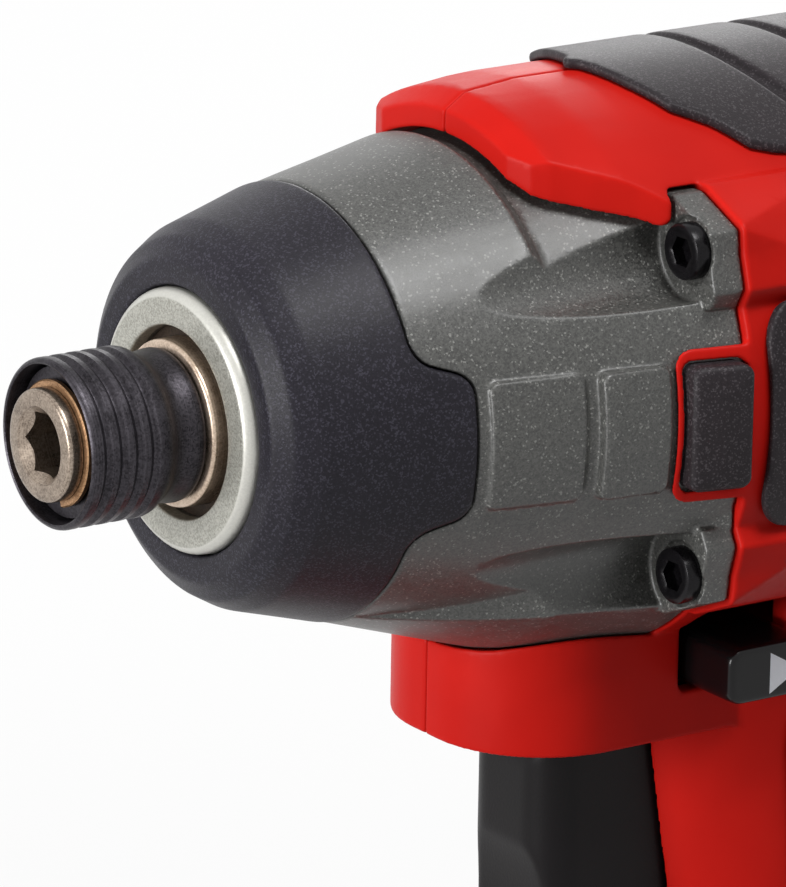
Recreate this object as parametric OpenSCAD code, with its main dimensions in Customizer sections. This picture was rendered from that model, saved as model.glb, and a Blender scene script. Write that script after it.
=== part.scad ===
// Cordless impact driver with a slide-on battery pack.
// Nose along +X, left side of the tool along +Y, up along +Z, millimetres.
// The origin is the centre of the battery's base, on the surface that the tool stands on.
// A station is a distance behind the front of the boss ring, measured along the spindle axis.

/* [Layout] */
// Height of the spindle axis above the surface that the tool stands on
spindle_z = 205; // [200:1:212]
// Place of the boss ring in front of the battery's middle
ring_x = 76; // [74:0.5:78]
// Reach of the anvil in front of the boss ring
nose_reach = 17; // [16:0.5:20]
// Station of the rear end of the barrel
barrel_end = 148; // [146:1:156]

/* [Bit holder] */
// Hex socket across its flats
hex_af = 6.35; // [6.3:0.05:6.5]
// Diameter of the anvil's nose
anvil_d = 12; // [11.8:0.1:12.4]
// Diameter of the anvil's journal in the bush
journal_d = 17.8; // [17.4:0.1:18]
// Diameter of the bit sleeve over its ribs
sleeve_d = 18.1; // [17.8:0.1:18.6]
// Travel of the bit sleeve
sleeve_travel = 4; // [3:0.5:4.5]
// Grooves turned round the front of the bit sleeve
sleeve_grooves = 5; // [3:1:6]
// Diameter of the lock balls
lock_ball_d = 3.2; // [3:0.05:3.3]

/* [Hammer case] */
// Diameter of the boss ring
boss_d = 28; // [27:0.5:29]
// Wall of the hammer case over the hammer
case_wall = 4.1; // [3.6:0.1:4.6]
// Growth of the case radius per length
case_slope_share = 0.2; // [0.18:0.005:0.21]
// Length of the hammer case behind the boss ring
case_len = 51; // [50:0.5:53]
// Thickness of the nose boot
boot_t = 2.2; // [1.8:0.1:2.4]
// Station of the rear edge of the nose boot
boot_end = 14.8; // [13.8:0.2:15.2]
// Reach of the side tabs of the nose boot behind its edge
boot_tab = 6.2; // [5:0.1:7]
// Height of the side tabs of the nose boot at its rear edge
boot_tab_h = 18.7; // [17:0.1:20]
// Sideways distance between the case screws
case_screw_y = 49.8; // [49:0.2:52]
// Distance between the upper and the lower case screws
case_screw_z = 35.4; // [34:0.2:38]
// Radius of the driver grooves along the case
groove_r = 5.4; // [5:0.1:6]

/* [Impact mechanism] */
// Diameter of the hammer
hammer_d = 41; // [40:0.5:41.5]
// Travel of the hammer against its spring
hammer_travel = 7; // [6:0.5:7.5]
// Diameter of the spindle shaft
spindle_d = 14; // [13:0.5:15]
// Module of the gears
gear_module = 0.75; // [0.74:0.005:0.76]

/* [Motor] */
// Diameter of the motor can
motor_d = 37; // [35:0.5:38]
// Length of the motor can
motor_len = 52; // [48:1:54]
// Diameter of the motor shaft
shaft_d = 5; // [4:0.5:5.5]

/* [Housing] */
// Step of the barrel over the rear edge of the hammer case
flange_step = 1; // [0.6:0.1:1.6]
// Fall of the barrel's radius from its front to the dome
barrel_taper = 2.4; // [1:0.2:4]
// Wall of the housing
wall = 2.6; // [2.2:0.1:3]
// Width of the chin over the trigger
chin_w = 31; // [30:0.5:33]
// Drop of the chin below the spindle axis
chin_drop = 40; // [39:0.5:42]
// Length of the handle section, front to back
handle_l = 46; // [44:0.5:48]
// Width of the handle
handle_w = 35; // [34:0.5:37]
// Rake of the handle
handle_rake = 7; // [5:0.5:8]
// Width of the foot
foot_w = 66; // [64:1:70]
// Length of the foot
foot_l = 92; // [90:1:96]

/* [Controls] */
// Width of the trigger
trigger_w = 15.8; // [14:0.2:17]
// Travel of the trigger
trigger_travel = 6; // [4:0.5:7]
// Travel of the direction selector to each side
selector_travel = 3; // [2:0.5:3.5]

/* [Battery] */
// Length of the battery pack
battery_l = 112; // [110:1:116]
// Width of the battery pack
battery_w = 74; // [73:0.5:78]
// Height of the battery pack below the foot
battery_h = 46; // [45:0.5:52]
// Diameter of a battery cell
cell_d = 18.4; // [18:0.1:18.6]

/* [Hidden] */

// Facets of turned shapes, of small round shapes and of rounded corners
round_fn = 96;
small_fn = 48;
corner_fn = 32;
// Overrun of every cut
over = 1;
// Clearances: running fits, pressed pieces, seated pieces, pieces that pass each other
run_gap = 0.05;
press_gap = 0.05;
seat_gap = 0.15;
pass_gap = 0.4;

// World x of a station, world z of a height above the spindle axis
function sx(station) = ring_x - station;
function az(height) = spindle_z + height;

// Local z runs rearward along the spindle axis, local x points up
module on_axis(station = 0)
  translate([sx(station), 0, spindle_z]) rotate([0, -90, 0]) children();

module turned(points)
  on_axis() rotate_extrude($fn = round_fn) polygon(points);

module disc(station, length, radius)
  on_axis(station) cylinder(h = length, r = radius, $fn = round_fn);

module ring(station, length, outer, inner)
  difference() {
    disc(station, length, outer);
    disc(station - over, length + 2 * over, inner);
  }

// Slab between two widths, from an outline in world x and z
module side_slab(low, high)
  translate([0, high, 0]) rotate([90, 0, 0]) linear_extrude(high - low) children();

module both_sides()
  for (side = [0, 1]) mirror([0, side, 0]) children();

module round_rect(length, width, radius) {
  square([length - 2 * radius, width], center = true);
  square([length, width - 2 * radius], center = true);
  for (x = [-1, 1], y = [-1, 1])
    translate([x * (length / 2 - radius), y * (width / 2 - radius)]) circle(r = radius, $fn = corner_fn);
}

// Rounded rectangle from its lowest and highest corners
module round_span(low, high, radius)
  translate((low + high) / 2) round_rect(high.x - low.x, high.y - low.y, radius);

// Stadium: a round-ended outline
module stadium(length, width) {
  square([length - width, width], center = true);
  for (x = [-1, 1])
    translate([x * (length - width) / 2, 0]) circle(d = width, $fn = round_fn);
}

// Helical spring of round wire along +Z, one unbroken tube
spring_rings = 8;
spring_sides = 6;
function spring_points(radius, wire, length, turns) =
  [for (i = [0 : turns * spring_rings])
    let (a = 360 * i / spring_rings, z = wire / 2 + (length - wire) * i / (turns * spring_rings))
    for (j = [0 : spring_sides - 1])
      let (b = 360 * j / spring_sides, r = radius + wire / 2 * cos(b))
      [r * cos(a), r * sin(a), z + wire / 2 * sin(b)]];

module spring(radius, wire, length, turns, label) {
  count = turns * spring_rings;
  points = spring_points(radius, wire, length, turns);
  last = count * spring_sides;
  near = min([for (j = [0 : spring_sides - 1], k = [0 : spring_sides - 1])
    norm(points[spring_rings * spring_sides + j] - points[k])]);
  echo(str(label, " least gap to itself ", near, " mm"));
  polyhedron(points, concat(
    [for (j = [1 : spring_sides - 2]) [0, j, j + 1]],
    [for (i = [0 : count - 1], j = [0 : spring_sides - 1])
      let (a = i * spring_sides + j, b = i * spring_sides + (j + 1) % spring_sides)
      [a, a + spring_sides, b]],
    [for (i = [0 : count - 1], j = [0 : spring_sides - 1])
      let (a = i * spring_sides + j, b = i * spring_sides + (j + 1) % spring_sides)
      [b, a + spring_sides, b + spring_sides]],
    [for (j = [1 : spring_sides - 2]) [last, last + j + 1, last + j]]));
}

// Involute gear outline with one tooth on local x
pressure = 20;
function involute(a) = tan(a) * 180 / PI - a;
function flank(r, base, pitch, teeth, slack) =
  90 / teeth + involute(pressure) - involute(acos(min(1, base / max(r, base))))
  - slack / 2 / pitch * 180 / PI;
function gear_points(teeth, addendum, dedendum, slack) =
  let (pitch = teeth * gear_module / 2, base = pitch * cos(pressure),
    radii = [pitch - dedendum, pitch - dedendum / 2, pitch, pitch + addendum / 2, pitch + addendum])
  [for (t = [0 : teeth - 1]) each concat(
    [for (i = [0 : 4]) let (a = 360 * t / teeth - flank(radii[i], base, pitch, teeth, slack))
      radii[i] * [cos(a), sin(a)]],
    [for (i = [4 : -1 : 0]) let (a = 360 * t / teeth + flank(radii[i], base, pitch, teeth, slack))
      radii[i] * [cos(a), sin(a)]])];

// Hammer case cone, one wall over the room that the hammer turns in
hammer_r = hammer_d / 2;
hammer_clear = 0.7;
hammer_room_r = hammer_r + hammer_clear;
hammer_room_start = 24.4;
case_front_r = hammer_room_r + case_wall - case_slope_share * hammer_room_start;
function case_r(station) = case_front_r + case_slope_share * station;

// Anvil
anvil_r = anvil_d / 2;
journal_r = journal_d / 2;
anvil_chamfer = 0.45;
shoulder_station = -1.4;
hex_seat = 8;
hex_depth = nose_reach + hex_seat;
countersink_r = 4.1;
countersink_depth = 0.9;
journal_end = 16;
ear_end = 23;
ear_r = 17.5;
ear_w = 13;
hub_r = 11;
pilot_r = 5;
pilot_start = 12.5;
lock_ball_station = -6;
lock_ball_r = lock_ball_d / 2;
lock_ball_seat_r = anvil_r - lock_ball_r;
clip_station = -15.4;
clip_t = 0.9;
clip_groove = 0.55;

module anvil() color("rosybrown") difference() {
  union() {
    turned([[0, -nose_reach], [anvil_r - anvil_chamfer, -nose_reach],
      [anvil_r, anvil_chamfer - nose_reach], [anvil_r, shoulder_station], [journal_r, shoulder_station],
      [journal_r, journal_end], [hub_r, journal_end], [hub_r, ear_end], [0, ear_end]]);
    intersection() {
      disc(journal_end, ear_end - journal_end, ear_r);
      on_axis(journal_end) translate([-ear_w / 2, -ear_r, 0])
        cube([ear_w, 2 * ear_r, ear_end - journal_end]);
    }
  }
  on_axis(-nose_reach - over)
    cylinder(h = hex_depth + over, d = hex_af / cos(30), $fn = 6);
  on_axis(-nose_reach) cylinder(h = countersink_depth, r1 = countersink_r, r2 = hex_af / 2, $fn = round_fn);
  disc(pilot_start, ear_end - pilot_start + over, pilot_r);
  on_axis(lock_ball_station) rotate([90, 0, 0])
    cylinder(h = 2 * anvil_d, r = lock_ball_r + run_gap, center = true, $fn = small_fn);
  difference() {
    disc(clip_station, clip_t + seat_gap, anvil_d);
    disc(clip_station - over, clip_t + seat_gap + 2 * over, anvil_r - clip_groove);
  }
}

// Lock balls, held in the cross hole of the anvil
module lock_ball(side)
  color("lightsteelblue") on_axis(lock_ball_station)
    translate([0, side * lock_ball_seat_r, 0]) sphere(r = lock_ball_r, $fn = small_fn);

// Bit sleeve: a turned shell that slides on the anvil
sleeve_r = sleeve_d / 2;
sleeve_front = -16;
sleeve_rear = -1.6;
sleeve_rim = 0.7;
sleeve_lip = 0.5;
rib_start = 1.2;
rib_pitch = 1.75;
groove_w = 0.75;
groove_depth = 0.55;
neck_start = 3.6;
neck_w = 2.2;
neck_depth = 1.15;
tail_depth = 0.9;
land_rear_share = 0.1;
land_rear = lock_ball_station - land_rear_share * lock_ball_d;
land_gap = 0.08;
land_r = anvil_r + land_gap;
relief_slope_share = 0.27;
relief_r = land_r + relief_slope_share * (sleeve_rear - land_rear);

module bit_sleeve() color("dimgray") difference() {
  turned([[land_r, sleeve_front], [sleeve_r - sleeve_lip, sleeve_front],
    [sleeve_r, sleeve_front + sleeve_lip], [sleeve_r, sleeve_rear - neck_start - neck_w],
    [sleeve_r - neck_depth, sleeve_rear - neck_start - neck_w / 2],
    [sleeve_r - neck_depth, sleeve_rear - neck_start], [sleeve_r - tail_depth, sleeve_rear - neck_start / 2],
    [sleeve_r - tail_depth, sleeve_rear], [relief_r, sleeve_rear], [land_r, land_rear]]);
  disc(sleeve_front - over, land_front - sleeve_front + over, sleeve_r - sleeve_rim);
  for (i = [0 : sleeve_grooves - 1])
    ring(sleeve_front + rib_start + i * rib_pitch, groove_w, sleeve_d, sleeve_r - groove_depth);
}

// Snap ring, washer and spring under the sleeve's rim
clip_r = sleeve_r - sleeve_rim - pass_gap;
clip_split = 3.2;
module sleeve_circlip() color("peru") difference() {
  ring(clip_station + seat_gap / 2, clip_t, clip_r, anvil_r - clip_groove + seat_gap);
  on_axis(clip_station - over) translate([-sleeve_d, -clip_split / 2, 0])
    cube([sleeve_d, clip_split, clip_t + seat_gap + 2 * over]);
}

washer_t = 0.7;
washer_station = clip_station + clip_t + 2 * seat_gap;
module sleeve_washer() color("silver")
  ring(washer_station, washer_t, clip_r, anvil_r + run_gap);

sleeve_wire = 0.8;
sleeve_turns = 3;
sleeve_spring_start = washer_station + washer_t + seat_gap;
sleeve_spring_rest = 1.15;
land_front = sleeve_spring_start + sleeve_travel + sleeve_spring_rest;
sleeve_spring_len = land_front - sleeve_spring_start - seat_gap;
module sleeve_spring() color("lightgray") on_axis(sleeve_spring_start)
  spring((anvil_r + clip_r) / 2, sleeve_wire, sleeve_spring_len, sleeve_turns, "sleeve spring");

// Nose boot, a rubber cover with a tab on each side
boss_r = boss_d / 2;
boss_chamfer = 1;
boot_face_w = 3;
boot_face_r = boss_r + boot_face_w;
boot_face_station = 0.4;
boot_shoulder_rise = 0.3;
boot_shoulder_r = case_front_r + boot_shoulder_rise;
boot_shoulder = 4.5;
boot_round = 0.45;
boot_proud = 0.25;
tab_round = 2.4;
tab_root = 3;
tab_end_share = 0.79;
seat_r = boss_r + seat_gap;

// Outline of the boot seen from the side: full height in front, a tapered tab behind
module boot_outline(grow) {
  root = boot_tab_h / 2;
  tip = tab_end_share * root;
  offset(delta = grow) offset(r = -tab_root, $fn = corner_fn) offset(delta = tab_root)
    offset(r = tab_round, $fn = corner_fn) offset(delta = -tab_round) {
      translate([sx(boot_end), az(-2 * case_front_r)]) square([2 * case_front_r, 4 * case_front_r]);
      polygon([[sx(0), az(-root)], [sx(0), az(root)], [sx(boot_end), az(root)],
        [sx(boot_end + boot_tab), az(tip)], [sx(boot_end + boot_tab), az(-tip)], [sx(boot_end), az(-root)]]);
    }
}

module boot_outer()
  turned([[0, boot_face_station], [boot_face_r, boot_face_station],
    [(boot_face_r + boot_shoulder_r) / 2 + boot_round, (boot_face_station + boot_shoulder) / 2 - boot_round],
    [boot_shoulder_r, boot_shoulder], [case_r(boot_end) + boot_proud, boot_end],
    [case_r(boot_end + 2 * boot_tab) + boot_proud, boot_end + 2 * boot_tab], [0, boot_end + 2 * boot_tab]]);

// Seat of the boot on the case, one boot thickness below its surface
module boot_seat(grow)
  turned([[0, boot_face_station - over], [seat_r + grow, boot_face_station - over],
    [seat_r + grow, boot_face_station + boot_t],
    [boot_face_r - boot_t / 2 + grow, boot_face_station + boot_t],
    [boot_shoulder_r - boot_t + grow, boot_shoulder + boot_t / 2],
    [case_r(boot_end + 2 * boot_tab) - boot_t + grow, boot_end + 2 * boot_tab],
    [0, boot_end + 2 * boot_tab]]);

module nose_boot() color("darkslategray") intersection() {
  difference() {
    boot_outer();
    boot_seat(seat_gap);
  }
  side_slab(-2 * case_front_r, 2 * case_front_r) boot_outline(0);
}

// Hammer case: a casting with boss ring, pads, screw lugs and driver grooves
bush_r = journal_r + run_gap;
bush_wall = 1.3;
bush_seat_r = bush_r + bush_wall;
bush_start = 1.5;
bush_end = 14;
anvil_room_start = 15.6;
ear_clear = 0.9;
anvil_room_r = ear_r + ear_clear;
gear_room_len = 6.2;
gear_room_start = case_len - gear_room_len;
screw_points = [for (y = [-1, 1], z = [-1, 1]) [y * case_screw_y / 2, z * case_screw_z / 2]];
screw_head_r = 3.3;
screw_head_h = 2.2;
screw_r = 2;
screw_len = 11;
lug_t = 3.8;
lug_front = case_len - lug_t;
lug_face_cut = 0.6;
screw_seat = lug_front + lug_face_cut;
head_room = 0.3;
groove_start = 18;

// Outline of a lug, up and out from its screw, in shares of the screw head
lug_edge_shares = [[-1.76, 1.06], [-1.09, 1.42], [-0.06, 1.12], [0.76, 1.03], [1.6, -0.9]];
lug_in_share = 3.6;
module lug_outline()
  polygon(screw_head_r * concat([[lug_edge_shares[0].x, -lug_in_share]], lug_edge_shares,
    [[lug_edge_shares[len(lug_edge_shares) - 1].x, -lug_in_share]]));

module at_screws(station)
  on_axis(station) for (p = screw_points) translate([p.y, p.x, 0])
    mirror([p.y < 0 ? 1 : 0, 0, 0]) mirror([0, p.x < 0 ? 1 : 0, 0]) children();

// Pads on each side of the case: front and rear stations, and their rises over the cone
tab_len = 8.2;
tab_front = case_len - tab_len;
pad_h = 13.7;
pad_round = 1;
pad_set = 1.3;
pads_front = boot_end + boot_tab + pad_set;
pads_rear = tab_front - pass_gap;
pad_span_shares = [[0, 0.53], [0.6, 1]];
pad_spans = [for (share = pad_span_shares) share * (pads_rear - pads_front) + [pads_front, pads_front]];
pad_rises = [[0.7, 0.3], [1.5, 0.6]];
module case_pad(stations, rises) intersection() {
  turned([[0, stations[0]], [case_r(stations[0]) + rises[0], stations[0]],
    [case_r(stations[1]) + rises[1], stations[1]], [0, stations[1]]]);
  side_slab(-barrel_d, barrel_d)
    round_span([sx(stations[1]), az(-pad_h / 2)], [sx(stations[0]), az(pad_h / 2)], pad_round);
}

// Keel under the case, which widens to the rear
keel_start = 14;
keel_tail = 17;
keel_peak = case_len - keel_tail;
keel_rise = 2.3;
keel_end_rise = 0.7;
keel_front_w = 20.4;
keel_rear_w = 58;
module keel(grow, end) intersection() {
  turned([[0, keel_start], [case_r(keel_start) + grow, keel_start],
    [case_r(keel_peak) + keel_rise + grow, keel_peak],
    [case_r(case_len) + keel_end_rise + grow, end], [0, end]]);
  translate([0, 0, az(-barrel_d)]) linear_extrude(barrel_d)
    polygon([[sx(keel_start), -keel_front_w / 2 - grow], [sx(keel_start), keel_front_w / 2 + grow],
      [sx(end), keel_rear_w / 2 + grow], [sx(end), -keel_rear_w / 2 - grow]]);
}

// Recess in the top of the case, under the visor
recess_len = 20;
recess_start = case_len - recess_len;
recess_ramp = 1.5;
recess_depth = 1.3;
recess_angle = 54;
module case_recess() intersection() {
  turned([[case_r(recess_start), recess_start],
    [case_r(recess_start + recess_ramp) - recess_depth, recess_start + recess_ramp],
    [case_r(case_len) - recess_depth, case_len], [case_r(case_len) - recess_depth, case_len + over],
    [barrel_d, case_len + over], [barrel_d, recess_start]]);
  on_axis() linear_extrude(case_len + over)
    polygon(barrel_d * [[0, 0], [1, tan(recess_angle)], [1, -tan(recess_angle)]]);
}

module hammer_case() color("gray") difference() {
  union() {
    difference() {
      union() {
        turned([[bush_seat_r, -boss_chamfer], [boss_r - boss_chamfer, -boss_chamfer], [boss_r, 0],
          [boss_r, boot_face_station], [case_r(boot_face_station), boot_face_station],
          [case_r(case_len), case_len], [bush_seat_r, case_len]]);
        keel(0, case_len);
      }
      case_recess();
      at_screws(groove_start) cylinder(h = lug_front - groove_start, r = groove_r, $fn = round_fn);
    }
    for (i = [0, 1]) case_pad(pad_spans[i], pad_rises[i]);
    at_screws(lug_front) linear_extrude(case_len - lug_front) lug_outline();
  }
  difference() {
    side_slab(-2 * case_front_r, 2 * case_front_r) boot_outline(seat_gap);
    boot_seat(0);
  }
  turned([[0, -boss_chamfer - over], [bush_seat_r, -boss_chamfer - over], [bush_seat_r, anvil_room_start],
    [anvil_room_r, anvil_room_start], [anvil_room_r, hammer_room_start], [hammer_room_r, hammer_room_start],
    [hammer_room_r, gear_room_start], [gear_room_r, gear_room_start], [gear_room_r, case_len + over],
    [0, case_len + over]]);
  at_screws(lug_front - over)
    cylinder(h = lug_face_cut + over, r = screw_head_r + head_room, $fn = small_fn);
  at_screws(lug_front) cylinder(h = case_len, r = screw_r + seat_gap, $fn = small_fn);
}

screw_key_af = 3;
screw_key_depth = 2;
module case_screws() color("black") at_screws(screw_seat - screw_head_h) difference() {
  union() {
    cylinder(h = screw_head_h, r = screw_head_r, $fn = small_fn);
    cylinder(h = screw_head_h + screw_len, r = screw_r, $fn = small_fn);
  }
  translate([0, 0, -over]) cylinder(h = screw_key_depth + over, d = screw_key_af / cos(30), $fn = 6);
}

module anvil_bush() color("goldenrod")
  ring(bush_start, bush_end - bush_start, bush_seat_r - press_gap, bush_r);

module thrust_washer() color("silver")
  ring(bush_end + seat_gap, journal_end - bush_end - 2 * seat_gap - press_gap, bush_seat_r - seat_gap,
    bush_r);

// Hammer: a heavy ring on the spindle with two front dogs
hammer_front = 25.2;
carrier_set = 5;
carrier_front = case_len - carrier_set;
hammer_rear = carrier_front - hammer_travel - pass_gap;
dog_front = 18;
dog_in_r = hub_r + pass_gap;
dog_w = 10;
hammer_bore = spindle_d / 2 + run_gap;
spring_well_r = 16.5;
spring_well_share = 0.58;
spring_well_start = hammer_front + spring_well_share * (hammer_rear - hammer_front);
cam_ball_r = 2.4;
cam_ball_share = 0.395;
cam_ball_station = hammer_front + cam_ball_share * (hammer_rear - hammer_front);
spindle_r = spindle_d / 2;

module hammer() color("slategray") difference() {
  union() {
    ring(hammer_front, hammer_rear - hammer_front, hammer_r, hammer_bore);
    intersection() {
      ring(dog_front, hammer_front - dog_front, ear_r, dog_in_r);
      on_axis(dog_front) translate([-ear_r, -dog_w / 2, 0])
        cube([2 * ear_r, dog_w, hammer_front - dog_front]);
    }
  }
  ring(spring_well_start, hammer_rear, spring_well_r, spindle_r + 2 * cam_ball_r);
  on_axis(hammer_front - over) for (side = [-1, 1]) translate([side * spindle_r, 0, 0])
    cylinder(h = cam_ball_station - hammer_front + cam_ball_r + over + pass_gap,
      r = cam_ball_r + pass_gap, $fn = small_fn);
}

// Cam balls ride in the V-grooves of the spindle
module cam_balls() color("lightsteelblue") on_axis(cam_ball_station)
  for (side = [-1, 1]) translate([side * spindle_r, 0, 0]) sphere(r = cam_ball_r, $fn = small_fn);

// Spindle with planet carrier
pilot_gap = 0.06;
spindle_nose = 13.2;
shaft_front = ear_end + pass_gap;
carrier_r = 16.6;
carrier_plate = 3;
gear_start = carrier_front + carrier_plate + pass_gap;
gear_len = 6.4;
carrier_end = gear_start + gear_len + pass_gap + carrier_plate;
sun_teeth = 12;
planet_teeth = 18;
ring_teeth = sun_teeth + 2 * planet_teeth;
planet_count = 3;
sun_r = sun_teeth * gear_module / 2;
planet_r = planet_teeth * gear_module / 2;
planet_orbit = sun_r + planet_r;
ring_pitch_r = ring_teeth * gear_module / 2;
addendum_share = 0.8;
dedendum_share = 1.25;
addendum = addendum_share * gear_module;
dedendum = dedendum_share * gear_module;
backlash = 0.14;
pin_r = 2.5;
sun_bore = sun_r + addendum + pass_gap;
tail_r = 8;
tail_len = 5;
tail_end = carrier_end + tail_len;
bridge_r = 2.1;
bridge_orbit = 13.8;
v_angle = 35;

module at_planets(station)
  on_axis(station) for (k = [0 : planet_count - 1]) rotate([0, 0, 360 * k / planet_count])
    translate([planet_orbit, 0, 0]) children();

module spindle() color("lightslategray") difference() {
  union() {
    turned([[0, spindle_nose], [pilot_r - pilot_gap, spindle_nose], [pilot_r - pilot_gap, shaft_front],
      [spindle_r, shaft_front], [spindle_r, carrier_front], [carrier_r, carrier_front],
      [carrier_r, carrier_front + carrier_plate], [0, carrier_front + carrier_plate]]);
    ring(carrier_end - carrier_plate, carrier_plate, carrier_r, sun_bore);
    ring(carrier_end, tail_end - carrier_end, tail_r, sun_bore);
    on_axis(carrier_front + carrier_plate / 2) for (k = [0 : planet_count - 1])
      rotate([0, 0, 180 * (2 * k + 1) / planet_count]) translate([bridge_orbit, 0, 0])
        cylinder(h = carrier_end - carrier_front - carrier_plate, r = bridge_r, $fn = small_fn);
  }
  on_axis(cam_ball_station) for (side = [-1, 1], turn = [-1, 1]) translate([side * spindle_r, 0, 0])
    rotate([turn * v_angle, 0, 0]) cylinder(h = 2 * cam_ball_r, r = cam_ball_r + seat_gap, $fn = small_fn);
  on_axis(cam_ball_station) for (side = [-1, 1]) translate([side * spindle_r, 0, 0])
    sphere(r = cam_ball_r + seat_gap, $fn = small_fn);
  at_planets(carrier_front - over)
    cylinder(h = carrier_end - carrier_front + 2 * over, r = pin_r + press_gap, $fn = small_fn);
}

// Hammer spring between the well of the hammer and the carrier
hammer_wire = 2.4;
spring_seat_t = 1;
spring_mid_r = 14;
ball_ring_r = 0.9;
ball_ring_count = 24;
ball_fn = 24;
spring_seat_station = spring_well_start + 2 * ball_ring_r + seat_gap;
module spring_washer() color("silver")
  ring(spring_seat_station + seat_gap, spring_seat_t, spring_well_r - pass_gap,
    spindle_r + 2 * cam_ball_r + pass_gap);

module thrust_balls() color("lightsteelblue") on_axis(spring_well_start + ball_ring_r + seat_gap / 2)
  for (k = [0 : ball_ring_count - 1]) rotate([0, 0, 360 * k / ball_ring_count])
    translate([spring_mid_r, 0, 0]) sphere(r = ball_ring_r, $fn = ball_fn);

hammer_spring_start = spring_seat_station + 2 * seat_gap + spring_seat_t;
hammer_spring_len = carrier_front - hammer_spring_start - seat_gap;
hammer_pitch = 2.35;
hammer_turns = floor((hammer_spring_len - hammer_wire) / hammer_pitch);
module hammer_spring() color("gray") on_axis(hammer_spring_start)
  spring(spring_mid_r, hammer_wire, hammer_spring_len, hammer_turns, "hammer spring");

// Planet gears run on pins in the carrier
module planet_gear(k) color("khaki")
  on_axis(gear_start) rotate([0, 0, 360 * k / planet_count]) translate([planet_orbit, 0, 0])
    difference() {
      linear_extrude(gear_len) polygon(gear_points(planet_teeth, addendum, dedendum, backlash));
      translate([0, 0, -over]) cylinder(h = gear_len + 2 * over, r = pin_r + run_gap, $fn = small_fn);
    }

module planet_pins() color("silver") at_planets(carrier_front)
  cylinder(h = carrier_end - carrier_front, r = pin_r, $fn = small_fn);

ring_wall = 3.5;
ring_gear_r = ring_pitch_r + dedendum + ring_wall;
gear_room_r = ring_gear_r + seat_gap;
module ring_gear() color("darkkhaki") difference() {
  disc(gear_start - pass_gap / 2, gear_len + pass_gap, ring_gear_r);
  on_axis(gear_start - over) linear_extrude(gear_len + 2 * over)
    polygon(gear_points(ring_teeth, dedendum, addendum, -backlash));
}

// Gearbox plate with the bearing that carries the spindle's tail
bearing_wall = 3.4;
plate_start = carrier_end + pass_gap;
plate_len = 6;
plate_flange = 2.9;
plate_r = gear_room_r + plate_flange;
module spindle_bearing() color("lightgray")
  ring(plate_start + seat_gap, tail_end - plate_start - seat_gap, tail_r + bearing_wall, tail_r + run_gap);

module gearbox_plate() color("dimgray") difference() {
  disc(plate_start, plate_len, plate_r);
  disc(plate_start - over, tail_end - plate_start + over, tail_r + bearing_wall + seat_gap);
  disc(plate_start, plate_len + over, sun_bore + seat_gap);
}

// Motor: can, magnets, end cap, armature on a shaft with the sun pinion, brushes, fan and bearings
motor_r = motor_d / 2;
shaft_r = shaft_d / 2;
motor_start = plate_start + plate_len + seat_gap;
motor_end = motor_start + motor_len;
can_wall = 1.5;
magnet_t = 4;
air_gap = 0.5;
core_r = motor_r - can_wall - magnet_t - air_gap - seat_gap;
core_set = 9;
core_start = motor_start + core_set;
core_len = 28;
slot_count = 5;
slot_w = 2.4;
slot_depth = 3.4;
hub_len = 5;
commutator_r = 6;
commutator_set = 3;
commutator_start = core_start + core_len + commutator_set;
commutator_len = 8;
front_bearing_r = 6.5;
bearing_len = 5;
cap_reach = 10;
rear_bearing_start = motor_end + cap_reach;
rear_bearing_r = 8;
fan_clear = 1.2;
fan_start = commutator_start + commutator_len + fan_clear;
fan_len = 6;
fan_tip_gap = 2.5;
fan_r = motor_r - can_wall - fan_tip_gap;
fan_blades = 9;
fan_blade_t = 1.2;
shaft_rear = rear_bearing_start + bearing_len + pass_gap;
magnet_gap = 12;

module motor_can() color("silver") difference() {
  disc(motor_start, motor_len, motor_r);
  disc(motor_start + can_wall, motor_len, motor_r - can_wall);
  disc(motor_start - over, motor_len, front_bearing_r + seat_gap);
}

module motor_magnets() color("dimgray") difference() {
  ring(core_start - magnet_t / 2, core_len + magnet_t, motor_r - can_wall - seat_gap / 2, core_r + air_gap);
  on_axis(core_start - 2 * magnet_t) translate([-magnet_gap / 2, -motor_d, 0])
    cube([magnet_gap, 2 * motor_d, core_len + 4 * magnet_t]);
}

module front_bearing() color("lightgray")
  ring(motor_start + seat_gap, bearing_len, front_bearing_r, shaft_r + run_gap);

module rear_bearing() color("lightgray")
  ring(rear_bearing_start, bearing_len, rear_bearing_r, shaft_r + run_gap);

module motor_shaft() color("gainsboro") {
  disc(gear_start, shaft_rear - gear_start, shaft_r);
  on_axis(gear_start) rotate([0, 0, 180 / sun_teeth]) linear_extrude(gear_len)
    polygon(gear_points(sun_teeth, addendum, dedendum, backlash));
}

module armature() color("chocolate") difference() {
  union() {
    disc(core_start, core_len, core_r);
    disc(core_start - hub_len / 2, core_len + hub_len, core_r - slot_depth);
  }
  on_axis(core_start - over) for (k = [0 : slot_count - 1]) rotate([0, 0, 360 * k / slot_count])
    translate([core_r - slot_depth, -slot_w / 2, 0]) cube([2 * slot_depth, slot_w, core_len + 2 * over]);
  disc(core_start - hub_len, core_len + 2 * hub_len, shaft_r + press_gap);
}

module commutator() color("orange") difference() {
  ring(commutator_start, commutator_len, commutator_r, shaft_r + press_gap);
  on_axis(commutator_start - over) for (k = [0 : slot_count - 1]) rotate([0, 0, 360 * k / slot_count])
    translate([commutator_r - air_gap, -air_gap / 2, 0])
      cube([2 * air_gap, air_gap, commutator_len + 2 * over]);
}

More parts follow.
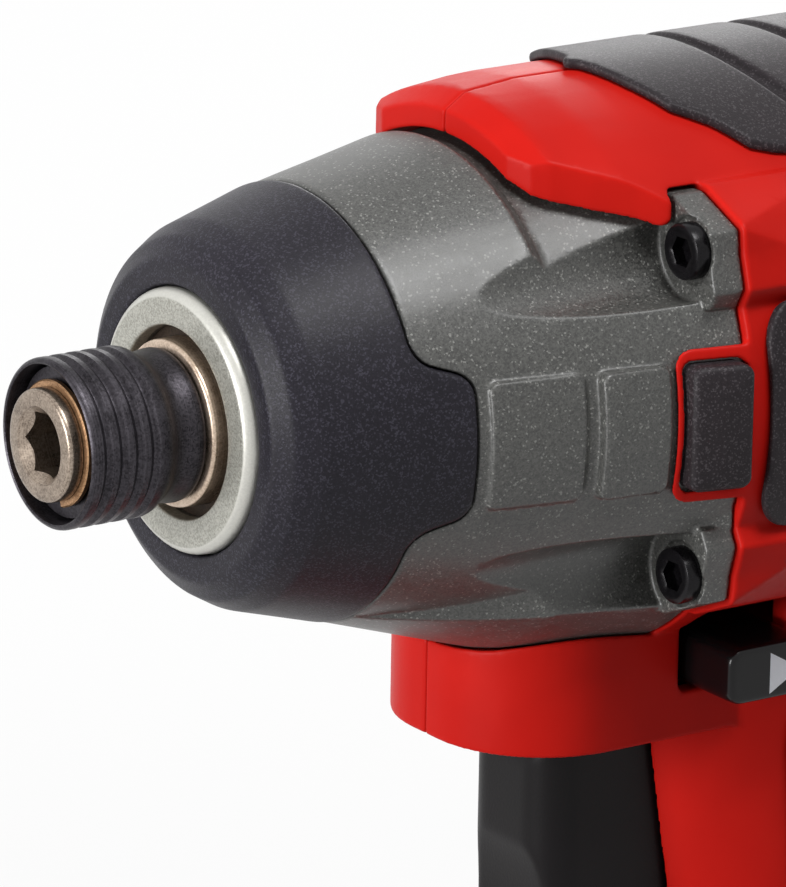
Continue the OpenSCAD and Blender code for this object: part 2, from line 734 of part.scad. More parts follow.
module motor_fan() color("white") difference() {
  union() {
    disc(fan_start, fan_blade_t, fan_r);
    disc(fan_start, fan_len, shaft_r + fan_blade_t);
    on_axis(fan_start) for (k = [0 : fan_blades - 1]) rotate([0, 0, 360 * k / fan_blades])
      translate([shaft_r + fan_blade_t / 2, -fan_blade_t / 2, fan_blade_t / 2])
        cube([fan_r - shaft_r - 2 * fan_blade_t, fan_blade_t, fan_len - fan_blade_t]);
  }
  disc(fan_start - over, fan_len + 2 * over, shaft_r + press_gap);
}

brush_w = 5;
brush_gap = 0.3;
brush_len = 7;
holder_gap = 0.75;
module carbon_brushes() color("black") on_axis(commutator_start + commutator_len / 2)
  for (side = [-1, 1]) translate([side * (commutator_r + brush_gap + brush_len / 2), 0, 0])
    cube([brush_len, brush_w, brush_w], center = true);

// End cap closes the can, carries the brushes' holder and leaves the fan room
cap_t = 2;
module motor_end_cap() color("darkslategray") difference() {
  disc(motor_end + seat_gap, rear_bearing_start + bearing_len - motor_end - seat_gap, motor_r - can_wall);
  disc(motor_end - over, rear_bearing_start - cap_t - motor_end + over, motor_r - can_wall - cap_t);
  disc(rear_bearing_start - seat_gap, bearing_len + 2 * over, rear_bearing_r + seat_gap);
  disc(motor_end, rear_bearing_start, shaft_r + pass_gap);
}

// Holder that clasps the two brushes inside the can
module brush_holder() color("saddlebrown") difference() {
  ring(commutator_start + seat_gap, commutator_len - 2 * seat_gap, motor_r - can_wall - seat_gap,
    commutator_r + holder_gap);
  on_axis(commutator_start + commutator_len / 2 - brush_w / 2 - seat_gap)
    translate([-motor_d, -brush_w / 2 - seat_gap, 0])
      cube([2 * motor_d, brush_w + 2 * seat_gap, brush_w + 2 * seat_gap]);
}

// Housing: two moulded halves that meet at the middle plane
housing_front = case_len + seat_gap;
barrel_r = case_r(case_len) + flange_step;
barrel_d = 2 * barrel_r;
barrel_rear_r = barrel_r - barrel_taper;
taper_start = 88;
dome_len = 26;
dome_flat_r = 12;
dome_start = barrel_end - dome_len;
tower_len = 20;
tower_proud = 4;
tower_frame = 0.7;
gear_bay_end = motor_start;

module barrel_shape(inset, front)
  turned(concat([[0, front], [barrel_r - inset, front], [barrel_r - inset, taper_start]],
    [for (a = [0 : 15 : 90]) [dome_flat_r + (barrel_rear_r - dome_flat_r - inset) * cos(a),
      dome_start + (dome_len - inset) * sin(a)]], [[0, barrel_end - inset]]));

// Visor over the top of the case: along and across shares of its plan edge
visor_reach = 18;
visor_tip = case_len - visor_reach;
visor_w = 47;
visor_face_rise = 2.2;
visor_bevel = 2.6;
visor_edge = visor_tip + visor_bevel;
visor_edge_rise = 3.4;
visor_rise_len = 9;
visor_flat = visor_tip + visor_rise_len;
visor_gap = 0.9;
visor_rear = housing_front + over;
visor_edge_shares = [[0, 0.49], [0.06, 0.61], [0.14, 0.67], [0.33, 0.77], [0.55, 0.87], [0.69, 0.945],
  [0.78, 0.98], [1, 1]];
function mirrored(points) =
  concat(points, [for (i = [len(points) - 1 : -1 : 0]) [points[i].x, -points[i].y]]);
module plan(front, rear, width, shares)
  translate([0, 0, spindle_z]) linear_extrude(barrel_d)
    polygon(mirrored([for (e = shares) [sx(front + e[0] * (rear - front)), e[1] * width / 2]]));

module visor() intersection() {
  turned([[case_r(visor_tip) - recess_depth + visor_gap, visor_tip],
    [case_r(visor_tip) + visor_face_rise, visor_tip],
    [case_r(visor_edge) + visor_edge_rise, visor_edge], [barrel_r, visor_flat], [barrel_r, visor_rear],
    [case_r(visor_rear) - recess_depth + visor_gap, visor_rear]]);
  plan(visor_tip, visor_rear, visor_w, visor_edge_shares);
}

// Side tabs that frame the bumpers
tab_h = 16.8;
tab_corner = 2;
tab_rise = 0.8;
tab_root_len = 4;
module side_tab() intersection() {
  turned([[case_r(tab_front), tab_front], [case_r(tab_front) + tab_rise, tab_front],
    [barrel_r, housing_front], [barrel_r, housing_front + tab_root_len],
    [case_r(housing_front), housing_front + tab_root_len], [case_r(housing_front), housing_front]]);
  side_slab(-barrel_d, barrel_d)
    round_span([sx(housing_front + tab_root_len), az(-tab_h / 2)], [sx(tab_front), az(tab_h / 2)],
      tab_corner);
}

// Bumpers lie on the case in the windows of the side tabs
bumper_frame = 1;
bumper_rear_gap = 0.3;
bumper_front = tab_front + bumper_frame;
bumper_end = case_len - bumper_rear_gap;
bumper_h = 13.7;
bumper_proud = 0.9;
module bumper_outline(grow)
  round_span([sx(bumper_end + grow), az(-bumper_h / 2 - grow)],
    [sx(bumper_front - grow), az(bumper_h / 2 + grow)], pad_round + grow);
module bumper_band(low, high)
  turned([[case_r(tab_front) + low, tab_front], [case_r(tab_front) + tab_rise + high, tab_front],
    [barrel_r + high, housing_front], [case_r(housing_front) + low, housing_front]]);
module side_bumper(side) color("darkslategray") mirror([0, side < 0 ? 1 : 0, 0]) intersection() {
  bumper_band(seat_gap, bumper_proud);
  side_slab(0, barrel_d) bumper_outline(0);
}

// Chin under the case
chin_reach = 19;
chin_front = case_len - chin_reach;
chin_len = 50;
chin_round = 13;
module chin_shape(inset)
  translate([sx(chin_front + chin_len / 2), 0, az(-chin_drop + inset)])
    linear_extrude(chin_drop - chin_round - inset)
      round_rect(chin_len - 2 * inset, chin_w - 2 * inset, chin_round - inset);

// Handle, drawn in to a waist below the trigger, and foot with a bevelled top
handle_set = 2.5;
handle_front = case_len + handle_set;
handle_top = 26;
foot_gap = 0.4;
foot_bottom = battery_h + foot_gap;
foot_h = 23;
foot_top = foot_bottom + foot_h;
foot_x = -4;
foot_round = 14;
foot_sink = 5;
handle_len = (az(-chin_drop) - foot_top) / cos(handle_rake) + foot_sink;
waist_share = 0.94;
waist_drop = 42;
module handle_shape(inset)
  translate([sx(handle_front + handle_l / 2), 0, az(-chin_drop)]) rotate([0, handle_rake, 0]) {
    linear_extrude(handle_top) stadium(handle_l - 2 * inset, handle_w - 2 * inset);
    rotate([180, 0, 0]) linear_extrude(waist_drop, scale = waist_share)
      stadium(handle_l - 2 * inset, handle_w - 2 * inset);
    translate([0, 0, -waist_drop - over]) linear_extrude(2 * over) scale(waist_share)
      stadium(handle_l - 2 * inset, handle_w - 2 * inset);
    translate([0, 0, -handle_len]) linear_extrude(handle_len - waist_drop, scale = waist_share)
      stadium(handle_l - 2 * inset, handle_w - 2 * inset);
  }

rail_h = 10;
rail_floor = 2.6;
foot_room = foot_bottom + rail_h + rail_floor;
foot_bevel = 3;
foot_bevel_in = 2.4;
module foot_shape(low, high, inset) {
  length = foot_l - 2 * inset;
  width = foot_w - 2 * inset;
  translate([foot_x, 0, low]) {
    linear_extrude(high - foot_bevel - low) round_rect(length, width, foot_round - inset);
    translate([0, 0, high - foot_bevel - low])
      linear_extrude(foot_bevel, scale = [1 - 2 * foot_bevel_in / length, 1 - 2 * foot_bevel_in / width])
        round_rect(length, width, foot_round - inset);
  }
}

// Battery rail: a T-shaped tongue on the pack and its channel in the foot, open to the front
rail_side = 6;
rail_lip = 4;
rail_w = foot_w - 2 * rail_side;
stem_w = rail_w - 2 * rail_lip;
stem_h = 4;
rail_back = 22;
rail_nose = 20;
rail_rear = foot_x - foot_l / 2 + rail_back;
rail_front = battery_l / 2 - rail_nose;
module rail_section(grow) {
  translate([-stem_w / 2 - grow, -over]) square([stem_w + 2 * grow, rail_h]);
  translate([-rail_w / 2 - grow, stem_h - grow])
    square([rail_w + 2 * grow, rail_h - stem_h - over + 2 * grow]);
}
module rail(rear, front, grow, lift)
  translate([rear, 0, battery_h + lift]) rotate([90, 0, 90]) linear_extrude(front - rear) rail_section(grow);

// Openings in the housing
trigger_reach = 10.8;
trigger_front = handle_front - trigger_reach;
trigger_top = 40.6;
trigger_bottom = 76;
selector_set = 4.3;
selector_len = 11.1;
selector_front = case_len + selector_set;
selector_end = selector_front + selector_len;
selector_top = 28.1;
selector_bottom = 34.4;
module trigger_window()
  side_slab(-trigger_w / 2 - pass_gap, trigger_w / 2 + pass_gap)
    translate([sx(switch_front), az(-trigger_bottom - pass_gap)])
      square([switch_front - trigger_front, trigger_bottom - trigger_top + 2 * pass_gap]);
module selector_window()
  side_slab(-barrel_d, barrel_d)
    round_span([sx(selector_end + pass_gap), az(-selector_bottom - pass_gap)],
      [sx(selector_front - pass_gap), az(-selector_top + pass_gap)], pad_round);

vent_count = 6;
vent_w = 2.2;
vent_pitch = 4.4;
vent_h = 22;
vent_start = 116;
module vents()
  side_slab(-barrel_d, barrel_d) for (k = [0 : vent_count - 1])
    translate([sx(vent_start + k * vent_pitch), spindle_z]) rotate(90) stadium(vent_h, vent_w);

// Screws that clamp the halves, placed as seen from the side
chin_boss = [6.5, 5];
handle_boss = [41, 10];
grip_boss = [17, 64];
foot_boss_shares = [0.38, -0.42];
foot_boss_rise = 4;
barrel_boss = [108, -24.6];
dome_boss = [138.4, 15];
boss_points = concat([[sx(chin_front + chin_boss[0]), az(-chin_drop + chin_boss[1])],
  [sx(handle_front + handle_boss[0]), az(-chin_drop - handle_boss[1])],
  [sx(handle_front + grip_boss[0]), az(-chin_drop - grip_boss[1])],
  [sx(barrel_boss[0]), az(barrel_boss[1])]],
  [for (share = foot_boss_shares) [foot_x + share * foot_l, foot_room + foot_boss_rise]],
  [for (side = [-1, 1]) [sx(dome_boss[0]), az(side * dome_boss[1])]]);
boss_tube_r = 4.3;
half_screw_r = 1.5;
half_head_r = 2.9;
half_head_h = 2.2;
half_seat = 6;
half_screw_len = 15;
module at_bosses(y)
  for (p = boss_points) translate([p.x, y, p.y]) rotate([-90, 0, 0]) children();

// Towers behind the lugs take the case screws
module towers(grow) intersection() {
  at_screws(housing_front - grow) linear_extrude(tower_len + 2 * grow)
    offset(delta = tower_frame + grow) lug_outline();
  turned([[0, housing_front - over], [barrel_r + tower_proud + grow, housing_front - over],
    [barrel_r, housing_front + tower_len + grow], [0, housing_front + tower_len + grow]]);
}

module housing_outer() {
  barrel_shape(0, housing_front);
  towers(0);
  side_tab();
  chin_shape(0);
  handle_shape(0);
  foot_shape(foot_bottom, foot_top, 0);
}

module housing_room() {
  turned([[0, visor_tip - over], [case_r(visor_tip) + pass_gap / 2, visor_tip - over],
    [case_r(housing_front) + pass_gap / 2, housing_front], [plate_r + seat_gap, housing_front],
    [plate_r + seat_gap, gear_bay_end], [0, gear_bay_end]]);
  keel(pass_gap / 2, housing_front);
  barrel_shape(wall, gear_bay_end);
  chin_shape(wall);
  handle_shape(wall);
  foot_shape(foot_room, foot_top - wall, wall);
}

module housing_body() difference() {
  union() {
    difference() {
      housing_outer();
      housing_room();
    }
    visor();
    intersection() {
      housing_outer();
      at_bosses(-barrel_r) cylinder(h = barrel_d, r = boss_tube_r, $fn = small_fn);
    }
  }
  at_screws(lug_front - pass_gap) linear_extrude(housing_front - lug_front + pass_gap)
    offset(delta = pass_gap) lug_outline();
  at_screws(screw_seat - screw_head_h - over)
    cylinder(h = screw_head_h + over, r = screw_head_r + pass_gap, $fn = small_fn);
  at_screws(housing_front - over) cylinder(h = screw_len, r = screw_r + seat_gap, $fn = small_fn);
  bumper_pocket();
  trigger_window();
  selector_window();
  vents();
  rail(rail_rear - pass_gap, foot_l, pass_gap, 0);
  terminal_room();
  selector_pocket();
  lens_hole();
  insert_holes();
  at_bosses(-half_seat) cylinder(h = half_screw_len + over, r = half_screw_r + seat_gap, $fn = small_fn);
  at_bosses(-half_seat - barrel_r) cylinder(h = barrel_r, r = half_head_r + seat_gap, $fn = small_fn);
}

module bumper_pocket() intersection() {
  bumper_band(-over, barrel_d);
  side_slab(-barrel_d, barrel_d) bumper_outline(seat_gap);
}

module housing_half(side) color("firebrick") intersection() {
  housing_body();
  translate([-barrel_end, side > 0 ? 0 : -barrel_d, 0])
    cube([2 * barrel_end, barrel_d, spindle_z + barrel_d]);
}

module housing_screws() color("black") at_bosses(-half_seat) {
  difference() {
    translate([0, 0, -half_head_h]) cylinder(h = half_head_h, r = half_head_r, $fn = small_fn);
    translate([0, 0, -half_head_h - over]) cylinder(h = half_head_h, r = half_screw_r, $fn = 6);
  }
  cylinder(h = half_screw_len, r = half_screw_r, $fn = small_fn);
}

// Rubber covers moulded over the housing
cover_t = 1.2;
cover_gap = 0.06;
pad_reach = 2.5;
pad_front = case_len - pad_reach;
pad_rear_gap = 2;
pad_end = dome_start - pad_rear_gap;
pad_w = 40.4;
pad_edge_shares = [[0, 0.02], [0.013, 0.06], [0.035, 0.37], [0.064, 0.64], [0.112, 0.78], [0.151, 0.94],
  [0.19, 0.985], [0.22, 1], [0.9, 0.9], [1, 0.6]];
pad_groove_w = 1.7;
pad_groove_depth = 0.6;
pad_groove_pitch = 11;
pad_groove_count = 5;
pad_groove_set = 15.5;
pad_groove_start = pad_front + pad_groove_set;
pad_groove_r = 41;
module cover_band(low, high)
  turned([[barrel_r + low, pad_front], [barrel_r + high, pad_front], [barrel_r + high, taper_start],
    [barrel_rear_r + high, dome_start], [barrel_rear_r + low, dome_start], [barrel_r + low, taper_start]]);

// The pad's cross grooves bow to the front
module top_pad() color("darkslategray") difference() {
  intersection() {
    cover_band(cover_gap, cover_t);
    plan(pad_front, pad_end, pad_w, pad_edge_shares);
  }
  towers(pass_gap);
  for (k = [0 : pad_groove_count - 1]) intersection() {
    cover_band(cover_t - pad_groove_depth, 2 * cover_t);
    translate([sx(pad_groove_start + k * pad_groove_pitch + pad_groove_r), 0, spindle_z]) difference() {
      cylinder(h = barrel_d, r = pad_groove_r, $fn = round_fn);
      cylinder(h = barrel_d, r = pad_groove_r - pad_groove_w, $fn = round_fn);
    }
  }
}

panel_set = 2;
panel_front = case_len + panel_set;
panel_end = 110;
panel_h = 25.6;
panel_round = 5;
module side_panel(side) color("darkslategray") mirror([0, side < 0 ? 1 : 0, 0]) difference() {
  intersection() {
    cover_band(cover_gap, cover_t);
    side_slab(0, barrel_d)
      round_span([sx(panel_end), az(-panel_h / 2)], [sx(panel_front), az(panel_h / 2)], panel_round);
  }
  towers(pass_gap);
}

grip_top = 38.5;
grip_foot_gap = 7;
grip_front = 13.8;
grip_corner = 4;
module rear_grip() color("darkslategray") intersection() {
  difference() {
    handle_shape(-cover_t);
    handle_shape(-cover_gap);
  }
  side_slab(-handle_w, handle_w)
    translate([sx(handle_front + grip_front), az(-chin_drop)]) rotate(-handle_rake)
      round_span([-2 * handle_l, foot_top + grip_foot_gap - az(-chin_drop)], [0, chin_drop - grip_top],
        grip_corner);
}

// Trigger, its spring and the switch behind it
switch_set = 13.1;
switch_len = 19.4;
switch_front = handle_front + switch_set;
switch_end = switch_front + switch_len;
switch_w = 19;
switch_top = 44;
switch_bottom = 80;
trigger_rear = switch_front - trigger_travel - 2 * pass_gap;
trigger_round = 4;
trigger_side_round = 4.5;
trigger_hollow_r = 26;
trigger_hollow = 1.4;
trigger_hollow_drop = 62;
trigger_spring_drop = 54;
trigger_spring_r = 3.2;
trigger_wire = 0.7;
trigger_turns = 6;
trigger_pocket = 8;
plunger_r = 1.6;
module trigger() color("dimgray") difference() {
  intersection() {
    side_slab(-trigger_w / 2, trigger_w / 2)
      round_span([sx(trigger_rear), az(-trigger_bottom)], [sx(trigger_front), az(-trigger_top)],
        trigger_round);
    translate([0, 0, az(-trigger_bottom)]) linear_extrude(trigger_bottom - trigger_top)
      round_span([sx(trigger_rear + trigger_side_round), -trigger_w / 2], [sx(trigger_front), trigger_w / 2],
        trigger_side_round);
  }
  translate([sx(trigger_front - trigger_hollow_r + trigger_hollow), 0, az(-trigger_hollow_drop)])
    rotate([90, 0, 0]) cylinder(h = 2 * trigger_w, r = trigger_hollow_r, center = true, $fn = round_fn);
  translate([sx(trigger_rear) - over, 0, az(-trigger_spring_drop)]) rotate([0, 90, 0])
    cylinder(h = trigger_pocket + over, r = trigger_spring_r + trigger_wire / 2 + pass_gap, $fn = small_fn);
}
module trigger_spring() color("lightgray")
  translate([sx(switch_front - seat_gap), 0, az(-trigger_spring_drop)]) rotate([0, 90, 0])
    spring(trigger_spring_r, trigger_wire, switch_front - trigger_rear + trigger_pocket - 2 * seat_gap,
      trigger_turns, "trigger spring");
module switch_body() color("black") {
  side_slab(-switch_w / 2, switch_w / 2)
    round_span([sx(switch_end), az(-switch_bottom)], [sx(switch_front), az(-switch_top)], pad_round);
  translate([sx(switch_front) - over, 0, az(-trigger_spring_drop)]) rotate([0, 90, 0])
    cylinder(h = over + pass_gap + trigger_spring_r, r = plunger_r, $fn = small_fn);
}

// Direction selector: a bar pushed across the housing
selector_proud = 5;
selector_w = chin_w + 2 * (selector_proud + selector_travel);
selector_round = 1.6;
selector_pocket_top = 24.5;
selector_wall = 3;
selector_core = chin_w - 2 * selector_wall;
module selector_pocket() both_sides() side_slab(selector_core / 2, barrel_d)
  round_span([sx(selector_end + 2 * pass_gap), az(-selector_bottom - pass_gap)],
    [sx(selector_front - 2 * pass_gap), az(-selector_pocket_top)], pad_round);
module direction_selector() color("black")
  side_slab(-selector_w / 2, selector_w / 2)
    round_span([sx(selector_end), az(-selector_bottom)], [sx(selector_front), az(-selector_top)],
      selector_round);

// Work lamp in the front of the foot
lens_r = 3.4;
lens_len = 5;
lens_drop = 6.4;
board_t = 1.4;
board_w = 12;
lens_x = foot_x + foot_l / 2;
module lens_hole()
  translate([lens_x - lens_len - over, 0, foot_top - lens_drop]) rotate([0, 90, 0])
    cylinder(h = lens_len + 2 * over, r = lens_r + seat_gap, $fn = small_fn);
module lamp_lens() color("white")
  translate([lens_x + pass_gap - lens_len, 0, foot_top - lens_drop]) rotate([0, 90, 0])
    cylinder(h = lens_len, r = lens_r, $fn = small_fn);
module lamp_board() color("green")
  translate([lens_x - lens_len - board_t, -board_w / 2, foot_top - lens_drop - lens_r])
    cube([board_t, board_w, 2 * lens_r]);

// Threaded inserts for a belt clip, one on each side of the foot
insert_r = 3;
insert_len = 8;
insert_hole_r = 1.65;
insert_x = -18;
insert_z = foot_room + foot_boss_rise;
module at_inserts() both_sides()
  translate([insert_x, foot_w / 2, insert_z]) rotate([90, 0, 0]) children();
module insert_holes() at_inserts()
  translate([0, 0, -over]) cylinder(h = insert_len + over, r = insert_r + seat_gap / 2, $fn = small_fn);
module clip_inserts() color("gold") at_inserts() difference() {
  cylinder(h = insert_len, r = insert_r, $fn = small_fn);
  translate([0, 0, -over]) cylinder(h = insert_len + 2 * over, r = insert_hole_r, $fn = small_fn);
}

// Terminal block with blades that enter the slots of the pack
block_w = 34;
block_l = 9;
block_h = 12;
blade_t = 0.9;
blade_l = 13;
blade_h = 4.6;
blade_rise = 2.6;
blade_pitch = 12;
block_x = rail_rear - pass_gap - block_l;
module terminal_room()
  translate([block_x - seat_gap, -block_w / 2 - seat_gap, battery_h])
    cube([block_l + over + pass_gap, block_w + 2 * seat_gap, block_h + foot_gap + seat_gap]);
module terminal_block() color("black") {
  translate([block_x, -block_w / 2, foot_bottom]) cube([block_l, block_w, block_h]);
  for (k = [-1 : 1]) translate([block_x, k * blade_pitch - blade_t / 2, foot_bottom + blade_rise])
    cube([block_l + blade_l, blade_t, blade_h]);
}

// Battery pack
battery_wall = 2.5;
battery_round = 14;
battery_split = 22;
cell_end_room = 2;
cell_len = battery_w - 2 * (battery_wall + cell_end_room);
cell_gap = 0.4;
cell_pitch = cell_d + cell_gap;
cell_count = floor((battery_l - 2 * battery_wall) / cell_pitch);
slot_gap = 1.5;
leaf_t = 0.4;
leaf_set = 1;
leaf_h = 6;
leaf_out = (blade_t + slot_gap - leaf_t - seat_gap) / 2;
pack_screw_in_x = 5;
pack_screw_in_y = 13;
pack_screw_x = battery_l / 2 - pack_screw_in_x;
pack_screw_y = battery_w / 2 - pack_screw_in_y;
pack_boss_r = 3.6;
pack_screw_r = 1.4;
pack_head_r = 2.5;
pack_head_h = 2;
pack_seat = 4;
pack_boss_top = 34;
pack_screw_len = 26;
latch_w = 28;
latch_travel = 4;
latch_tooth_w = 16;
latch_tooth_l = 3.6;
latch_set = 2.4;
latch_tooth_x = rail_front + latch_set;
latch_plate_t = 3;
latch_proud = 1.5;
latch_h = 9.4;
latch_tooth_h = 7;
latch_top = battery_h - battery_wall - pass_gap;
latch_spring_r = 3;
latch_wire = 0.7;
latch_turns = 5;
latch_shelf = 3;
latch_low = latch_top - latch_h - latch_travel - pass_gap;
latch_spring_set = 9;
latch_spring_x = latch_tooth_x + latch_spring_set;

// The pack: a block with bevelled lower and upper edges, a seam and flutes for the fingers
pack_bevel = 3;
pack_bevel_in = 1.6;
seam_h = 0.8;
seam_depth = 0.7;
flute_count = 4;
flute_r = 3;
flute_depth = 0.9;
flute_pitch = 6.4;
flute_x = 31;
flute_low = 8;
flute_high = 38;
module pack_outline(inset)
  round_rect(battery_l - 2 * inset, battery_w - 2 * inset, battery_round - inset);
module pack_block(low, high, inset)
  translate([0, 0, low]) linear_extrude(high - low) pack_outline(inset);
module pack_edge()
  linear_extrude(pack_bevel, scale = [1 - 2 * pack_bevel_in / battery_l, 1 - 2 * pack_bevel_in / battery_w])
    pack_outline(0);
module pack_flutes() both_sides() for (k = [0 : flute_count - 1])
  translate([flute_x - k * flute_pitch, battery_w / 2 + flute_r - flute_depth, flute_low])
    cylinder(h = flute_high - flute_low, r = flute_r, $fn = corner_fn);
module at_pack_screws()
  for (x = [-1, 1], y = [-1, 1]) translate([x * pack_screw_x, y * pack_screw_y, 0]) children();

module battery_lower_case() color("dimgray") difference() {
  union() {
    difference() {
      union() {
        pack_block(pack_bevel, battery_split - seam_h, 0);
        pack_block(pack_bevel, battery_split, seam_depth);
        translate([0, 0, pack_bevel]) mirror([0, 0, 1]) pack_edge();
      }
      pack_block(battery_wall, battery_split + over, battery_wall);
      pack_flutes();
    }
    at_pack_screws() cylinder(h = battery_split, r = pack_boss_r, $fn = small_fn);
  }
  translate([0, 0, -over]) at_pack_screws() {
    cylinder(h = battery_h, r = pack_screw_r + seat_gap, $fn = small_fn);
    cylinder(h = pack_seat + over, r = pack_head_r + seat_gap, $fn = small_fn);
  }
}

module battery_upper_case() color("firebrick") difference() {
  union() {
    difference() {
      union() {
        pack_block(battery_split, battery_h - pack_bevel, 0);
        translate([0, 0, battery_h - pack_bevel]) pack_edge();
      }
      pack_block(battery_split - over, battery_h - battery_wall, battery_wall);
      pack_flutes();
    }
    rail(rail_rear, rail_front, 0, 0);
    translate([0, 0, battery_split]) at_pack_screws()
      cylinder(h = pack_boss_top - battery_split, r = pack_boss_r, $fn = small_fn);
    translate([latch_tooth_x, -latch_w / 2, latch_low - latch_shelf])
      cube([battery_l / 2 - latch_tooth_x - over, latch_w, latch_shelf]);
  }
  at_pack_screws()
    cylinder(h = pack_seat + pack_screw_len + over, r = pack_screw_r + seat_gap, $fn = small_fn);
  translate([battery_l / 2 - battery_wall - over, -latch_w / 2 - pass_gap, latch_low])
    cube([battery_wall + 2 * over, latch_w + 2 * pass_gap, latch_top + pass_gap - latch_low]);
  translate([latch_tooth_x - pass_gap, -latch_tooth_w / 2 - pass_gap, latch_top - over])
    cube([latch_tooth_l + 2 * pass_gap, latch_tooth_w + 2 * pass_gap, battery_wall + pass_gap + 2 * over]);
  for (k = [-1 : 1]) translate([rail_rear - over, k * blade_pitch - blade_t / 2 - slot_gap / 2, battery_h])
    cube([blade_l + 2 * over + 2 * pass_gap, blade_t + slot_gap, rail_h]);
}

module battery_latch() color("black") {
  translate([battery_l / 2 - battery_wall - over, -latch_w / 2, latch_top - latch_h])
    cube([battery_wall + over + latch_proud, latch_w, latch_h]);
  translate([latch_tooth_x, -latch_tooth_w / 2, latch_top - latch_plate_t])
    cube([battery_l / 2 - battery_wall - latch_tooth_x, latch_tooth_w, latch_plate_t]);
  translate([latch_tooth_x, -latch_tooth_w / 2, latch_top - latch_plate_t])
    cube([latch_tooth_l, latch_tooth_w, latch_plate_t + latch_tooth_h]);
}

latch_spring_len = latch_top - latch_plate_t - latch_low - 2 * seat_gap;
module latch_spring() color("lightgray")
  translate([latch_spring_x, 0, latch_low + seat_gap])
    spring(latch_spring_r, latch_wire, latch_spring_len, latch_turns, "latch spring");

module battery_cells() color("royalblue")
  for (k = [0 : cell_count - 1])
    translate([(k - (cell_count - 1) / 2) * cell_pitch, cell_len / 2, battery_wall + seat_gap + cell_d / 2])
      rotate([90, 0, 0]) cylinder(h = cell_len, d = cell_d, $fn = round_fn);

module battery_contacts() color("gold")
  for (k = [-1 : 1], side = [-1, 1])
    translate([rail_rear + leaf_set, k * blade_pitch + side * leaf_out - leaf_t / 2, battery_h + seat_gap])
      cube([blade_l, leaf_t, leaf_h]);

module battery_screws() color("black") at_pack_screws() {
  difference() {
    translate([0, 0, pack_seat - pack_head_h]) cylinder(h = pack_head_h, r = pack_head_r, $fn = small_fn);
    cylinder(h = pack_seat - pack_head_h / 2, r = pack_screw_r, $fn = 6);
  }
  translate([0, 0, pack_seat]) cylinder(h = pack_screw_len, r = pack_screw_r, $fn = small_fn);
}

bit_sleeve();
sleeve_spring();
sleeve_washer();
sleeve_circlip();
lock_ball(1);  // lock_ball_left
lock_ball(-1);  // lock_ball_right
anvil();
anvil_bush();
thrust_washer();
hammer_case();
nose_boot();
case_screws();
hammer();
hammer_spring();
spring_washer();
thrust_balls();
cam_balls();
spindle();
planet_gear(0);  // planet_gear_1
planet_gear(1);  // planet_gear_2
planet_gear(2);  // planet_gear_3
planet_pins();
ring_gear();
gearbox_plate();
spindle_bearing();
motor_can();
motor_magnets();
motor_end_cap();
brush_holder();
carbon_brushes();
armature();
commutator();
motor_shaft();
motor_fan();
front_bearing();
rear_bearing();
housing_half(1);  // housing_left
housing_half(-1);  // housing_right
housing_screws();
top_pad();
side_panel(1);  // side_panel_left
side_panel(-1);  // side_panel_right
side_bumper(1);  // side_bumper_left
side_bumper(-1);  // side_bumper_right
rear_grip();
trigger();
trigger_spring();
switch_body();
direction_selector();
lamp_lens();
lamp_board();
clip_inserts();
terminal_block();
battery_lower_case();
battery_upper_case();
battery_latch();
latch_spring();
battery_cells();
battery_contacts();
battery_screws();
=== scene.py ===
# Cordless impact driver, dressed for its studio picture.
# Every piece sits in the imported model's own frame: nose along +X, left side along +Y, up along +Z, metres.
import math
import bmesh
import bpy
import numpy as np
import openvdb
from mathutils import Matrix, Vector


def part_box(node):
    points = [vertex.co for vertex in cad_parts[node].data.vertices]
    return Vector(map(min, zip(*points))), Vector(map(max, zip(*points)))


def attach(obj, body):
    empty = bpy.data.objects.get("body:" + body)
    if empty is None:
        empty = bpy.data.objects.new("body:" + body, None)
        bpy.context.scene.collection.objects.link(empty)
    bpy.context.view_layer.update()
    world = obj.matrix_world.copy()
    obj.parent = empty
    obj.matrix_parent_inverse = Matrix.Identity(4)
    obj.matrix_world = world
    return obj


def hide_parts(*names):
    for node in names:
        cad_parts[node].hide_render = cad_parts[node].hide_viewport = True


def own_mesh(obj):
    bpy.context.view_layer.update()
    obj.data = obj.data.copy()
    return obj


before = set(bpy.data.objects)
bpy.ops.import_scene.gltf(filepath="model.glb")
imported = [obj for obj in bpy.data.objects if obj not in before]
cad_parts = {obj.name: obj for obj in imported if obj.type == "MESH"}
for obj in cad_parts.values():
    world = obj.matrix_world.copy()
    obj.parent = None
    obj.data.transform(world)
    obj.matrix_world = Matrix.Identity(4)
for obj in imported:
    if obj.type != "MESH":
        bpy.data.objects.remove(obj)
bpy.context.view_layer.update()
scene = bpy.context.scene

# Studio: a pale seamless floor, three soft lamps and a dim even sky that is seen as white.
# The view is the photograph's, found from the round parts of the nose: a long lens above the left front.
# The floor glows where it is far from the tool and is plain close by, where the tool's shadow falls.
scene.view_settings.view_transform = "Standard"
PHOTO_SIZE = (786, 887)
RING_PIXEL = (177.5, 422.0)
RING_DISTANCE = 0.8326
FOCAL_PIXELS = 8000
SENSOR = 36.0
FARTHEST_SEEN = 20.0
CAMERA_ROLL = math.radians(1.0)
NOSE_REACH = 0.017
anvil_low, anvil_high = (Vector(corner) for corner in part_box("anvil"))
ring_centre = Vector((anvil_high.x - NOSE_REACH, 0.0, (anvil_low.z + anvil_high.z) / 2))
camera_back = Vector((0.5443, 0.7884, 0.2867)).normalized()
level_right = Vector((-0.8230, 0.5681, 0.0)).normalized()
level_up = camera_back.cross(level_right)
camera_right = level_right * math.cos(CAMERA_ROLL) + level_up * math.sin(CAMERA_ROLL)
camera_up = camera_back.cross(camera_right)
pixel = RING_DISTANCE / FOCAL_PIXELS
